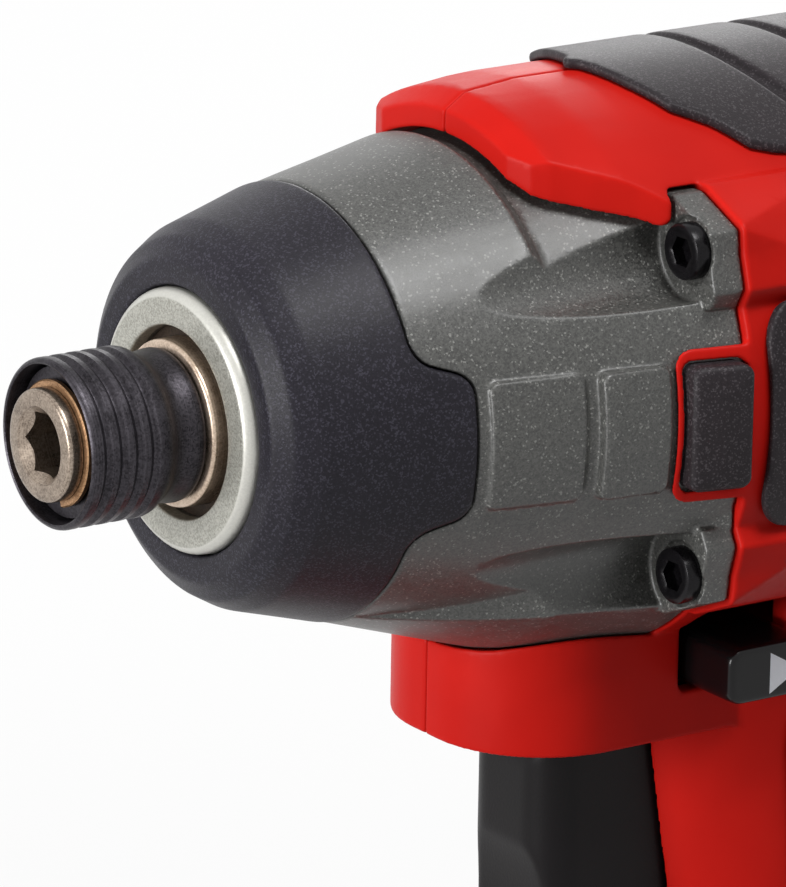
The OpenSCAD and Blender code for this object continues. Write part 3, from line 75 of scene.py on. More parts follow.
camera_place = (ring_centre + camera_back * RING_DISTANCE
                + camera_right * (PHOTO_SIZE[0] / 2 - RING_PIXEL[0]) * pixel
                - camera_up * (PHOTO_SIZE[1] / 2 - RING_PIXEL[1]) * pixel)
camera_data = bpy.data.cameras.new("studio_camera")
camera_data.sensor_width = SENSOR
camera_data.sensor_fit = "AUTO"
camera_data.lens = FOCAL_PIXELS * SENSOR / max(PHOTO_SIZE)
camera_data.clip_end = FARTHEST_SEEN
camera = bpy.data.objects.new("studio_camera", camera_data)
camera_turn = Matrix((camera_right, camera_up, camera_back)).transposed()
camera.matrix_world = Matrix.Translation(camera_place) @ camera_turn.to_4x4()
scene.collection.objects.link(camera)
scene.camera = camera


class Flow:
    """A socket of a node tree; arithmetic on it adds Math nodes, make() adds any other node."""

    def __init__(self, tree, socket=None):
        self.tree = tree
        self.socket = socket

    def make(self, kind, settings=None, inputs=None, out=0):
        node = self.tree.nodes.new(kind)
        for key, value in (settings or {}).items():
            setattr(node, key, value)
        for key, value in (inputs or {}).items():
            if isinstance(value, Flow):
                self.tree.links.new(value.socket, node.inputs[key])
            else:
                node.inputs[key].default_value = value
        return Flow(self.tree, node.outputs[out])

    def math(self, operation, first, second=0.0):
        return self.make("ShaderNodeMath", {"operation": operation}, {0: first, 1: second})

    def __add__(self, other):
        return self.math("ADD", self, other)

    def __sub__(self, other):
        return self.math("SUBTRACT", self, other)

    def __mul__(self, other):
        return self.math("MULTIPLY", self, other)

    def __pow__(self, other):
        return self.math("POWER", self, other)

    def between(self, low, high, new_low=0.0, new_high=1.0):
        """This value's place between low and high, clamped, as a smooth step."""
        return self.make("ShaderNodeMapRange", {"interpolation_type": "SMOOTHSTEP"},
                         {"Value": self, "From Min": low, "From Max": high,
                          "To Min": new_low, "To Max": new_high})

    def mix(self, colour_a, colour_b):
        """Colour a where this value is 0, colour b where it is 1."""
        return self.make("ShaderNodeMix", {"data_type": "RGBA"}, {0: self, 6: colour_a, 7: colour_b}, out=2)


def srgb(r, g, b):
    """Colour seen on screen, 0 to 255, as the linear colour that a shader takes."""
    return tuple((c / 255 / 12.92 if c / 255 <= 0.04045 else ((c / 255 + 0.055) / 1.055) ** 2.4)
                 for c in (r, g, b)) + (1.0,)


def new_material(name):
    """An empty node material: the material, its Principled shader and a Flow to build on."""
    material = bpy.data.materials.new(name)
    material.use_nodes = True
    return material, material.node_tree.nodes["Principled BSDF"], Flow(material.node_tree)


def plug(flow, shader, **sockets):
    """Sets or links sockets of a shader by their names, with underscores for spaces."""
    for key, value in sockets.items():
        socket = shader.inputs[key.replace("_", " ")]
        if isinstance(value, Flow):
            flow.tree.links.new(value.socket, socket)
        else:
            socket.default_value = value


def place(flow):
    """A point's own place on its piece, in metres."""
    return flow.make("ShaderNodeTexCoord", out="Object")


def shown_rays(flow):
    """1 for rays that show the background, straight or in metal and glass, and 0 for those that light."""
    seen, glossy, through = (flow.make("ShaderNodeLightPath", out=f"Is {kind} Ray")
                             for kind in ("Camera", "Glossy", "Transmission"))
    return flow.math("MINIMUM", seen + glossy + through, 1.0)


WHITE = (1.0, 1.0, 1.0, 1.0)
FLOOR_SIZE = 6.0
FLOOR_SEEN = (0.95, 0.95, 0.95, 1.0)
FLOOR_BOUNCE = (0.3, 0.3, 0.3, 1.0)
FLOOR_ROUGHNESS = 0.8
GLOW_NEAR, GLOW_FAR = 0.72, 0.96
NEAR_REACH, FAR_REACH = 0.25, 0.6
floor_mesh = bpy.data.meshes.new("floor")
floor_corners = ((-1, -1), (1, -1), (1, 1), (-1, 1))
floor_mesh.from_pydata([(x * FLOOR_SIZE, y * FLOOR_SIZE, 0) for x, y in floor_corners], [], [(0, 1, 2, 3)])
floor = bpy.data.objects.new("floor", floor_mesh)
scene.collection.objects.link(floor)
floor_paint, floor_shader, flow = new_material("pale_floor")
shown = shown_rays(flow)
glow = flow.make("ShaderNodeEmission", None, {"Color": WHITE, "Strength": 1.0})
reach = flow.make("ShaderNodeVectorMath", {"operation": "LENGTH"}, {0: place(flow)}, out="Value")
floor_glow = reach.between(NEAR_REACH, FAR_REACH, GLOW_NEAR, GLOW_FAR)
plug(flow, floor_shader, Base_Color=shown.mix(FLOOR_BOUNCE, FLOOR_SEEN), Roughness=FLOOR_ROUGHNESS,
     Specular_IOR_Level=0.0)
floor_blend = flow.make("ShaderNodeMixShader", None, {0: shown * floor_glow, 2: glow})
flow.tree.links.new(floor_shader.outputs[0], floor_blend.socket.node.inputs[1])
flow.tree.links.new(floor_blend.socket, flow.tree.nodes["Material Output"].inputs[0])
floor_mesh.materials.append(floor_paint)

SKY_LIGHT = 0.14
sky = bpy.data.worlds.new("studio_sky")
sky.use_nodes = True
sky_flow = Flow(sky.node_tree)
sky_shader = sky.node_tree.nodes["Background"]
plug(sky_flow, sky_shader, Color=WHITE, Strength=shown_rays(sky_flow) * (1 - SKY_LIGHT) + SKY_LIGHT)
scene.world = sky

LAMP_AIM = Vector((0.03, 0.0, 0.19))


def soft_lamp(name, stands_at, size, power):
    """A rectangular lamp that faces the tool's barrel; power is in watts."""
    lamp_data = bpy.data.lights.new(name, "AREA")
    lamp_data.shape = "RECTANGLE"
    lamp_data.size, lamp_data.size_y = size
    lamp_data.energy = power
    lamp = bpy.data.objects.new(name, lamp_data)
    facing = (Vector(stands_at) - LAMP_AIM).to_track_quat("Z", "Y")
    lamp.matrix_world = Matrix.Translation(stands_at) @ facing.to_matrix().to_4x4()
    scene.collection.objects.link(lamp)


soft_lamp("key_lamp", stands_at=(0.0, 0.45, 1.28), size=(0.5, 0.45), power=11.0)
soft_lamp("back_lamp", stands_at=(-0.9, -0.8, 0.55), size=(0.8, 0.5), power=5.0)
soft_lamp("nose_lamp", stands_at=(1.2, 0.0, 0.36), size=(0.5, 0.5), power=13.0)

# Hammer case: an aluminium casting that holds the impact mechanism, screwed to the housing by four lugs.
# It is painted with a sparkling grey lacquer; the boss ring round the bit holder is turned bare, and its
# outer chamfer is coloured lighter all round as a painted highlight.


def sampled(field, places):
    """The field's value at places given in voxels, between its eight nearest points."""
    corner = np.floor(places).astype(np.int64)
    part = places - corner
    total = np.zeros(len(places))
    for step in np.ndindex(2, 2, 2):
        share = np.prod(np.where(step, part, 1 - part), axis=1)
        total += share * field[tuple((corner + step).T)]
    return total


BLUR_REACH = 3
MERGE_STEPS = (0.0, 0.005, 0.02, 0.05, 0.1, 0.2, 0.4)
MOST_TRIANGLES = 190000


def moulded(name, node, voxel, edge_round=1.2, between=None):
    """A node's solid as it leaves a mould: its distance field is blurred, so that every edge is round.
    edge_round is the blur in voxels, and between keeps only the part from one height to another. Flat
    stretches get large faces, and the field's slope gives the normals."""
    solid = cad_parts[node].data
    solid.calc_loop_triangles()
    points = np.empty(3 * len(solid.vertices), np.float32)
    solid.vertices.foreach_get("co", points)
    corners = np.empty(3 * len(solid.loop_triangles), np.int32)
    solid.loop_triangles.foreach_get("vertices", corners)
    reach = math.ceil(BLUR_REACH * edge_round)
    grid = openvdb.FloatGrid.createLevelSetFromPolygons(
        points.reshape(-1, 3), triangles=corners.reshape(-1, 3).astype(np.uint32),
        transform=openvdb.createLinearTransform(voxelSize=voxel), halfWidth=reach + 2)
    low, high = (np.array(corner) for corner in grid.evalActiveVoxelBoundingBox())
    low -= reach
    field = np.empty(high - low + 1 + reach, np.float32)
    grid.copyToArray(field, ijk=low.tolist())
    weights = np.exp(-0.5 * (np.arange(-reach, reach + 1) / edge_round) ** 2).astype(np.float32)
    for axis in range(3):
        margins = [(reach, reach) if a == axis else (0, 0) for a in range(3)]
        rows = np.moveaxis(np.pad(field, margins, "edge"), axis, 0)
        blurred = sum(w * rows[k:k + field.shape[axis]] for k, w in enumerate(weights / weights.sum()))
        field = np.ascontiguousarray(np.moveaxis(blurred, 0, axis))
    kept = field
    if between:
        heights = (low[2] + np.arange(field.shape[2])) * voxel
        outside = np.maximum(between[0] - heights, heights - between[1])
        kept = np.maximum(field, np.clip(outside, -grid.background, grid.background).astype(np.float32))
    skin = openvdb.FloatGrid(grid.background)
    skin.transform = grid.transform
    skin.copyFromArray(kept, ijk=low.tolist())
    for merging in MERGE_STEPS:
        points, triangles, quads = skin.convertToPolygons(isovalue=0.0, adaptivity=merging)
        if len(triangles) + 2 * len(quads) <= MOST_TRIANGLES:
            break
    mesh = bpy.data.meshes.new(name)
    mesh.from_pydata(points.tolist(), [], triangles.tolist() + quads.tolist())
    mesh.polygons.foreach_set("use_smooth", [True] * len(mesh.polygons))
    places = points / voxel - low
    half_steps = np.eye(3) * 0.5
    normals = np.stack([sampled(field, places + h) - sampled(field, places - h) for h in half_steps], axis=1)
    mesh.normals_split_custom_set_from_vertices(normals / np.linalg.norm(normals, axis=1, keepdims=True))
    piece = bpy.data.objects.new(name, mesh)
    scene.collection.objects.link(piece)
    return piece


def dress(piece, material, body, slot, *nodes):
    """Gives a piece its material and its body, and hides the nodes that it stands for; slot is not used."""
    piece.data.materials.clear()
    piece.data.materials.append(material)
    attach(piece, body)
    if nodes:
        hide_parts(*nodes)


def shifted(flow, seed):
    """The place on the piece, moved by a seed so that patterns differ."""
    return flow.make("ShaderNodeVectorMath", {"operation": "ADD"}, {0: place(flow), 1: (seed, seed, seed)})


def speckle(flow, cells, seed):
    """A random value, 0 to 1, for each grain of a fine cell pattern; cells is their number per metre."""
    grain = flow.make("ShaderNodeTexVoronoi", None, {"Vector": shifted(flow, seed), "Scale": cells},
                      out="Color")
    return flow.make("ShaderNodeSeparateColor", None, {0: grain})


def cloud(flow, scale, detail, seed=0.0):
    """Soft noise, 0 to 1; scale is its number of lumps per metre."""
    return flow.make("ShaderNodeTexNoise", None,
                     {"Vector": shifted(flow, seed), "Scale": scale, "Detail": detail})


def bump(flow, height, strength, distance):
    """Normals of a relief; distance is its depth in metres."""
    return flow.make("ShaderNodeBump", None, {"Height": height, "Strength": strength, "Distance": distance})


CASE_VOXEL = 0.00022
CASE_ROUND = 0.75
BOSS_R = 0.0141
CHAMFER_R = 0.0131
BOSS_FACE_X = ring_centre.x - 0.0002
BARE_FROM_X = BOSS_FACE_X - 9e-4
BARE_TO_X = BOSS_FACE_X - 7e-4
PAINT_EDGE = 2e-4
CASE_DARK = srgb(40, 40, 39)
CASE_LIGHT = srgb(92, 92, 89)
CASE_SPARK = srgb(190, 190, 185)
BARE_DARK = srgb(146, 145, 136)
BARE_LIGHT = srgb(186, 185, 176)
BARE_CHAMFER_HIGHLIGHT = srgb(208, 207, 200)
FLAKES_PER_METRE = 5600
SPARKS_PER_METRE = 5200
FLAKE_RELIEF = 0.00004
case_paint, shader, flow = new_material("sparkle_lacquer")
axes = flow.make("ShaderNodeSeparateXYZ", None, {0: place(flow)})
along = Flow(flow.tree, axes.socket.node.outputs["X"])
across = Flow(flow.tree, axes.socket.node.outputs["Y"])
height = Flow(flow.tree, axes.socket.node.outputs["Z"]) - ring_centre.z
radius = (across * across + height * height) ** 0.5
bare = along.between(BARE_FROM_X, BARE_TO_X) * radius.between(BOSS_R + PAINT_EDGE, BOSS_R)
flakes = speckle(flow, FLAKES_PER_METRE, 0.3)
fine = cloud(flow, 9000, 2)
lacquer = (flakes * 0.7 + fine * 0.3).mix(CASE_DARK, CASE_LIGHT)
sparks = speckle(flow, SPARKS_PER_METRE, 1.7).between(0.93, 0.98)
turned_metal = (flakes * 0.5 + fine * 0.5).between(0.2, 0.8).mix(BARE_DARK, BARE_LIGHT)
# Painted highlight: the boss ring's outer chamfer, beyond CHAMFER_R, is coloured lighter, as if it caught
# the light.
bare_metal = (radius.between(CHAMFER_R, CHAMFER_R + PAINT_EDGE) * 0.75).mix(turned_metal, BARE_CHAMFER_HIGHLIGHT)
plug(flow, shader, Base_Color=bare.mix((sparks * 0.34).mix(lacquer, CASE_SPARK), bare_metal),
     Metallic=bare * 0.4, Roughness=flakes * 0.1 + 0.33, Specular_IOR_Level=0.6,
     Normal=bump(flow, flakes + fine, 0.14, FLAKE_RELIEF))
hammer_case = moulded("hammer_case_casting", "hammer_case", CASE_VOXEL, CASE_ROUND)
dress(hammer_case, case_paint, "tool", "cast_grey", "hammer_case")

# Nose boot: a rubber cover pulled over the front of the case, with a tab on each side.
# It keeps the metal off what is being worked on; the rubber is charcoal with pale specks.
BOOT_VOXEL = 0.0002
BOOT_ROUND = 1.4
RUBBER = srgb(40, 38, 45)
RUBBER_SPECK = srgb(88, 86, 98)
RUBBER_RELIEF = 0.00008


def rubber_material(name, base, speck, share, shine):
    """Dull textured rubber with faint pale specks over a share of it."""
    material, shader, flow = new_material(name)
    grain = speckle(flow, 5600, 0.7)
    lumps = cloud(flow, 5200, 3)
    specks = grain.between(1 - share, 1 - share / 4)
    tone = (cloud(flow, 60, 3) * 0.4 + lumps * 0.6).between(0.3, 0.7)
    shade = tuple(c * 0.6 for c in base[:3]) + (1.0,)
    plug(flow, shader, Base_Color=(specks * 0.34).mix(tone.mix(shade, base), speck),
         Roughness=lumps * 0.2 + shine, Specular_IOR_Level=0.15,
         Normal=bump(flow, lumps + grain * 0.4, 0.3, RUBBER_RELIEF))
    return material


boot_rubber = rubber_material("boot_rubber", RUBBER, RUBBER_SPECK, share=0.3, shine=0.3)
nose_boot = moulded("nose_boot_rubber", "nose_boot", BOOT_VOXEL, BOOT_ROUND)
dress(nose_boot, boot_rubber, "tool", "rubber", "nose_boot")

# Bit holder: the anvil's nose, the blackened sleeve that slides on it and the snap ring that keeps both.
# All are turned from steel; the sleeve is black-oxidised, the anvil is tempered to a warm brown grey.
# Sizes here are in millimetres: radii, and distances ahead of the boss ring.
LATHE_RELIEF = 0.00004


def turned_steel(name, dark, light, metal, rough, rings):
    """Steel with the fine rings that a lathe leaves round the spindle axis and small stains."""
    material, shader, flow = new_material(name)
    axes = flow.make("ShaderNodeSeparateXYZ", None, {0: place(flow)})
    along = Flow(flow.tree, axes.socket.node.outputs["X"])
    marks = flow.make("ShaderNodeTexNoise", {"noise_dimensions": "1D"},
                      {"W": along, "Scale": rings, "Detail": 2.0})
    stains = cloud(flow, 420, 4)
    grain = speckle(flow, 5200, 0.1)
    tone = (marks * 0.45 + stains * 0.4 + grain * 0.25).between(0.25, 0.8)
    plug(flow, shader, Base_Color=tone.mix(dark, light), Metallic=metal, Specular_IOR_Level=0.2,
         Roughness=stains * 0.25 + (rough - 0.1), Normal=bump(flow, marks, 0.2, LATHE_RELIEF))
    return material


def soften_edges(piece, angle=35.0):
    """Smooth faces, with edges sharper than the angle kept crisp."""
    piece.data.polygons.foreach_set("use_smooth", [True] * len(piece.data.polygons))
    piece.data.set_sharp_from_angle(angle=math.radians(angle))


def finished(name, shape):
    """A drawn shape as a piece of the scene, its faces turned outwards."""
    bmesh.ops.recalc_face_normals(shape, faces=shape.faces)
    mesh = bpy.data.meshes.new(name)
    shape.to_mesh(mesh)
    shape.free()
    piece = bpy.data.objects.new(name, mesh)
    scene.collection.objects.link(piece)
    return piece


def from_ring(x, y, z):
    """A place given in millimetres from the middle of the boss ring."""
    return ring_centre.x + x / 1000, y / 1000, ring_centre.z + z / 1000


def lathe(name, profile, closed=True, start=0.0, sweep=2 * math.pi, segments=144):
    """A body turned about the spindle axis. A point of the profile is a radius and an x ahead of the boss
    ring, or a function that gives them for an angle. An open profile's ends are capped."""
    whole = sweep == 2 * math.pi
    angles = [start + sweep * k / segments for k in range(segments + (not whole))]
    turned = bmesh.new()
    rings = []
    for point in profile:
        ring = []
        for angle in angles:
            r, x = point(angle) if callable(point) else point
            ring.append(turned.verts.new(from_ring(x, r * math.cos(angle), r * math.sin(angle))))
        rings.append(ring)
    for here, there in zip(rings, rings[1:] + (rings[:1] if closed else [])):
        for k in range(segments):
            after = (k + 1) % len(angles)
            turned.faces.new((here[after], here[k], there[k], there[after]))
    if not closed:
        turned.faces.new(rings[0])
        turned.faces.new(rings[-1])
    if not whole:
        turned.faces.new([ring[0] for ring in rings])
        turned.faces.new([ring[-1] for ring in rings])
    piece = finished(name, turned)
    soften_edges(piece)
    return piece


sleeve_steel = turned_steel("black_oxide", srgb(29, 27, 30), srgb(72, 69, 74),
                            metal=0.8, rough=0.36, rings=9000)
anvil_steel = turned_steel("anvil_steel", srgb(104, 92, 82), srgb(176, 161, 146),
                           metal=0.85, rough=0.28, rings=6000)
journal_steel = turned_steel("ground_journal", srgb(168, 146, 126), srgb(226, 206, 186),
                             metal=0.85, rough=0.3, rings=5000)
clip_steel = turned_steel("snap_ring_bronze", srgb(120, 86, 60), srgb(190, 150, 112),
                          metal=0.8, rough=0.32, rings=4000)
# Painted shade: the anvil bush is coloured near black for the shadow in the gap between the anvil's journal
# and the boss ring.
oiled_bronze = turned_steel("oiled_bronze", srgb(30, 25, 22), srgb(70, 58, 48),
                            metal=0.6, rough=0.5, rings=3000)
bright_steel = turned_steel("bright_steel", srgb(140, 140, 142), srgb(205, 205, 208),
                            metal=0.9, rough=0.3, rings=5000)

# The sleeve's profile: a rolled rim, a band with round grooves, a neck that flares to its rear edge.
SLEEVE_R = 9.05
SLEEVE_FRONT = 16.0
SLEEVE_BORE_R = 6.09
RIM_BORE_R = 8.35
RIM_FLOOR = 8.2
FIRST_GROOVE = 1.9
GROOVE_PITCH = 1.9
GROOVES = 4
groove_shape = ((0.0, 0.62), (0.16, 0.44), (0.42, 0.2), (0.5, 0.0), (0.42, -0.2), (0.16, -0.44),
                (0.0, -0.62))
sleeve_profile = [(RIM_BORE_R, RIM_FLOOR), (RIM_BORE_R, 15.7), (8.43, 15.9), (8.6, SLEEVE_FRONT),
                  (8.85, 15.88), (9.0, 15.66), (SLEEVE_R, 15.4)]
for k in range(GROOVES):
    groove_x = SLEEVE_FRONT - FIRST_GROOVE - k * GROOVE_PITCH
    sleeve_profile += [(SLEEVE_R - depth, groove_x + step) for depth, step in groove_shape]
sleeve_profile += [(SLEEVE_R, 6.9), (8.9, 6.4), (8.5, 5.8), (8.12, 5.3), (7.95, 4.8), (7.93, 4.2),
                   (8.02, 3.5), (8.15, 2.8), (8.18, 2.2), (8.1, 1.8), (7.9, 1.6), (7.36, 1.6),
                   (SLEEVE_BORE_R, 6.3), (SLEEVE_BORE_R, RIM_FLOOR)]
bit_sleeve = lathe("bit_sleeve_turned", sleeve_profile)
dress(bit_sleeve, sleeve_steel, "sleeve", "black_steel", "bit_sleeve")

# The anvil's nose ends in a countersunk hexagon socket; its journal and striking hub run back into the case.
HEX_HALF = 3.175
HEX_FLOOR = -8.0
MOUTH_R = 4.2
MOUTH_SLOPE = 1.1
ANVIL_R = 6.0
CLIP_FRONT = 15.4
CLIP_REAR = 14.4
CLIP_SEAT_R = 5.45
STEP_R = 7.0
JOURNAL_R = 8.9
JOURNAL_FRONT = 1.4
JOURNAL_REAR = -16.0
HUB_R = 11.0
HUB_REAR = -23.0
PILOT_R = 5.0
PILOT_FLOOR = -12.5
nose_front = NOSE_REACH * 1000


def hex_reach(angle):
    """How far the socket's wall is from its axis, with a corner towards the side of the tool."""
    return HEX_HALF / math.cos(angle % (math.pi / 3) - math.pi / 6)


def mouth_edge(angle):
    """Where the countersink's cone runs out into the socket's wall."""
    return hex_reach(angle), nose_front - (MOUTH_R - hex_reach(angle)) * MOUTH_SLOPE


anvil_nose = lathe("anvil_nose", [
    lambda angle: (hex_reach(angle), HEX_FLOOR), mouth_edge, (MOUTH_R, nose_front), (5.5, nose_front),
    (5.8, nose_front - 0.08), (5.95, nose_front - 0.25), (ANVIL_R, nose_front - 0.5), (ANVIL_R, CLIP_FRONT),
    (CLIP_SEAT_R, CLIP_FRONT), (CLIP_SEAT_R, CLIP_REAR), (ANVIL_R, CLIP_REAR), (ANVIL_R, JOURNAL_FRONT),
    (STEP_R, JOURNAL_FRONT)], closed=False)
dress(anvil_nose, anvil_steel, "anvil", "warm_steel", "anvil")
anvil_journal = lathe("anvil_journal", [
    (STEP_R, JOURNAL_FRONT), (8.5, JOURNAL_FRONT), (8.75, 1.3), (8.87, 1.12), (JOURNAL_R, 0.9),
    (JOURNAL_R, JOURNAL_REAR), (HUB_R, JOURNAL_REAR), (HUB_R, HUB_REAR), (PILOT_R, HUB_REAR),
    (PILOT_R, PILOT_FLOOR)], closed=False)
dress(anvil_journal, journal_steel, "anvil", "warm_steel")

# The two ears that the hammer strikes stand out from the anvil's hub, one on each side.
EAR_R = 17.5
EAR_HALF = 6.5
EAR_ROOT = 10.0
EAR_STEPS = 12


def wall(shape, here, there):
    """Faces all round between two rings with the same number of points."""
    for k in range(len(here)):
        shape.faces.new((here[k - 1], here[k], there[k], there[k - 1]))


ear_turn = math.asin(EAR_HALF / EAR_R)
ears = bmesh.new()
for side in (-1, 1):
    outline = [(EAR_R * math.sin(a), EAR_R * math.cos(a))
               for a in (ear_turn * (2 * k / EAR_STEPS - 1) for k in range(EAR_STEPS + 1))]
    outline += [(EAR_HALF, EAR_ROOT), (-EAR_HALF, EAR_ROOT)]
    front, rear = ([ears.verts.new(from_ring(x, side * y, z)) for z, y in outline]
                   for x in (JOURNAL_REAR, HUB_REAR))
    ears.faces.new(front)
    ears.faces.new(rear)
    wall(ears, front, rear)
anvil_ears = finished("anvil_ears", ears)
soften_edges(anvil_ears)
dress(anvil_ears, anvil_steel, "anvil", "warm_steel")

# The snap ring lies in a groove of the nose, open by a small gap below.
CLIP_R = 6.7
CLIP_IN_R = 5.6
CLIP_BACK = 14.55
CLIP_FACE = 15.3
CLIP_EDGE = 0.15
CLIP_GAP = math.radians(28.0)
CLIP_OPENS_AT = math.radians(-90.0)
snap_ring = lathe("snap_ring", [
    (CLIP_IN_R, CLIP_BACK), (CLIP_R - CLIP_EDGE, CLIP_BACK), (CLIP_R, CLIP_BACK + CLIP_EDGE),
    (CLIP_R, CLIP_FACE - CLIP_EDGE), (CLIP_R - CLIP_EDGE, CLIP_FACE), (CLIP_IN_R, CLIP_FACE)],
    start=CLIP_OPENS_AT + CLIP_GAP / 2, sweep=2 * math.pi - CLIP_GAP)
dress(snap_ring, clip_steel, "anvil", "bronze", "sleeve_circlip")

# Case screws: four black socket-head screws of steel in the lugs of the hammer case.
# One head is drawn as a mesh and set on the four lug points by a small node tree.
HEAD_STEPS = 48
HEAD_EDGE_SHARE = 0.12
KEY_MOUTH_SHARE = 0.66


def socket_head(name, head_r, head_h, key_af, key_depth):
    """A socket-head screw's head about +Z, in millimetres, with a rounded rim, its seat at z 0 and a hole
    for a hex key of key_af across its flats."""
    edge = head_r * HEAD_EDGE_SHARE
    head = bmesh.new()

    def ring_of(r, z, hexed=False):
        points = []
        for k in range(HEAD_STEPS):
            a = 2 * math.pi * k / HEAD_STEPS
            reach = r / math.cos((a + math.pi / 6) % (math.pi / 3) - math.pi / 6) if hexed else r
            points.append(head.verts.new((reach * math.cos(a) / 1000, reach * math.sin(a) / 1000, z / 1000)))
        return points

    rings = [ring_of(r, z) for r, z in (
        (head_r, 0.0), (head_r, head_h - edge), (head_r - edge * 0.3, head_h - edge * 0.3),
        (head_r - edge, head_h), (key_af * KEY_MOUTH_SHARE, head_h))]
    rings.append(ring_of(key_af / 2, head_h - edge * 0.5, True))
    rings.append(ring_of(key_af / 2, head_h - key_depth, True))
    for here, there in zip(rings, rings[1:]):
        wall(head, here, there)
    head.faces.new(rings[-1])
    head.faces.new(rings[0][::-1])
    return finished(name, head)


def settle(piece):
    """Makes what the piece's modifiers give its own plain mesh."""
    evaluated = piece.evaluated_get(bpy.context.evaluated_depsgraph_get())
    mesh = bpy.data.meshes.new_from_object(evaluated)
    piece.modifiers.clear()
    old, piece.data = piece.data, mesh
    bpy.data.meshes.remove(old)
    mesh.name = piece.name


def set_out(name, pattern, points, turn, material):
    """Copies of a pattern piece on points, as one plain mesh: a node tree realises and coats them."""
    tree = bpy.data.node_groups.new(name + "_tree", "GeometryNodeTree")
    tree.interface.new_socket("Points", in_out="INPUT", socket_type="NodeSocketGeometry")
    pattern_in = tree.interface.new_socket("Pattern", in_out="INPUT", socket_type="NodeSocketObject")
    turn_in = tree.interface.new_socket("Turn", in_out="INPUT", socket_type="NodeSocketRotation")
    coat_in = tree.interface.new_socket("Coat", in_out="INPUT", socket_type="NodeSocketMaterial")
    tree.interface.new_socket("Copies", in_out="OUTPUT", socket_type="NodeSocketGeometry")
    nodes, links = tree.nodes, tree.links
    given = nodes.new("NodeGroupInput")
    info = nodes.new("GeometryNodeObjectInfo")
    copies = nodes.new("GeometryNodeInstanceOnPoints")
    real = nodes.new("GeometryNodeRealizeInstances")
    coated = nodes.new("GeometryNodeSetMaterial")
    result = nodes.new("NodeGroupOutput")
    links.new(given.outputs["Points"], copies.inputs["Points"])
    links.new(given.outputs["Pattern"], info.inputs["Object"])
    links.new(info.outputs["Geometry"], copies.inputs["Instance"])
    links.new(given.outputs["Turn"], copies.inputs["Rotation"])
    links.new(copies.outputs[0], real.inputs[0])
    links.new(real.outputs[0], coated.inputs[0])
    links.new(given.outputs["Coat"], coated.inputs["Material"])
    links.new(coated.outputs[0], result.inputs[0])
    mesh = bpy.data.meshes.new(name)
    mesh.from_pydata([tuple(p) for p in points], [], [])
    piece = bpy.data.objects.new(name, mesh)
    scene.collection.objects.link(piece)
    modifier = piece.modifiers.new("set_out", "NODES")
    modifier.node_group = tree
    modifier[pattern_in.identifier] = pattern
    modifier[turn_in.identifier] = turn
    modifier[coat_in.identifier] = material
    settle(piece)
    pattern_mesh = pattern.data
    bpy.data.objects.remove(pattern)
    bpy.data.meshes.remove(pattern_mesh)
    return piece


# The solid's heads give the lug points; the heads that are seen are a little smaller.
SOLID_HEAD_R = 3.3
SOLID_HEAD_H = 2.2
HEAD_R = 3.05
HEAD_H = 1.8
KEY_AF = 3.0
KEY_DEPTH = 1.5
FACING_FORWARD = (0.0, math.pi / 2, 0.0)
black_gloss = turned_steel("screw_black", srgb(8, 7, 8), srgb(24, 22, 25), metal=0.3, rough=0.22, rings=2000)
screws_low, screws_high = (Vector(corner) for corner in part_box("case_screws"))
screw_y = screws_high.y - SOLID_HEAD_R / 1000
screw_z = (screws_high.z - screws_low.z) / 2 - SOLID_HEAD_R / 1000
seat_x = screws_high.x - SOLID_HEAD_H / 1000
lug_points = [(seat_x, side * screw_y, ring_centre.z + level * screw_z)
              for side in (-1, 1) for level in (-1, 1)]
case_screws = set_out("case_screw_heads", socket_head("case_screw", HEAD_R, HEAD_H, KEY_AF, KEY_DEPTH),
                      lug_points, FACING_FORWARD, black_gloss)
soften_edges(case_screws)
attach(case_screws, "tool")
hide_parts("case_screws")

# Housing: two mirrored halves of glass-filled nylon, clamped by screws from the right.
# The moulding is red with a fine spark-eroded texture and a soft gloss on its rounded edges.
# Each half has two skins, because the barrel's small forms need a finer one than the handle's.
BARREL_VOXEL = 0.00025
HANDLE_VOXEL = 0.0003
HOUSING_ROUND = 0.8
HANDLE_TOP_Z = 0.15
SKINS_LAP = 0.001
RED = srgb(206, 30, 22)
RED_DEEP = srgb(194, 25, 18)
PLASTIC_RELIEF = 0.00005


def moulded_plastic(name, base, deep, gloss, texture, mirror=0.25):
    """Moulded plastic: slow colour drift, fine eroded texture in bump and roughness."""
    material, shader, flow = new_material(name)
    drift = cloud(flow, 45, 3)
    pits = cloud(flow, 3200, 2)
    scuffs = cloud(flow, 320, 5, 0.4).between(0.62, 0.8)
    plug(flow, shader, Base_Color=drift.between(0.35, 0.7).mix(deep, base), Specular_IOR_Level=mirror,
         Roughness=pits * 0.12 + scuffs * 0.06 + gloss, Normal=bump(flow, pits, texture, PLASTIC_RELIEF))
    return material


red_nylon = moulded_plastic("red_nylon", RED, RED_DEEP, gloss=0.36, texture=0.12, mirror=0.09)
for side in ("left", "right"):
    node = "housing_" + side
    floor_z, roof_z = (Vector(corner).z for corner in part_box(node))
    barrel = moulded(node + "_barrel", node, BARREL_VOXEL, HOUSING_ROUND,
                     between=(HANDLE_TOP_Z - SKINS_LAP, roof_z + SKINS_LAP))
    dress(barrel, red_nylon, "tool", "red_plastic", node)
    handle = moulded(node + "_handle", node, HANDLE_VOXEL, HOUSING_ROUND,
                     between=(floor_z - SKINS_LAP, HANDLE_TOP_Z + SKINS_LAP))
    dress(handle, red_nylon, "tool", "red_plastic")

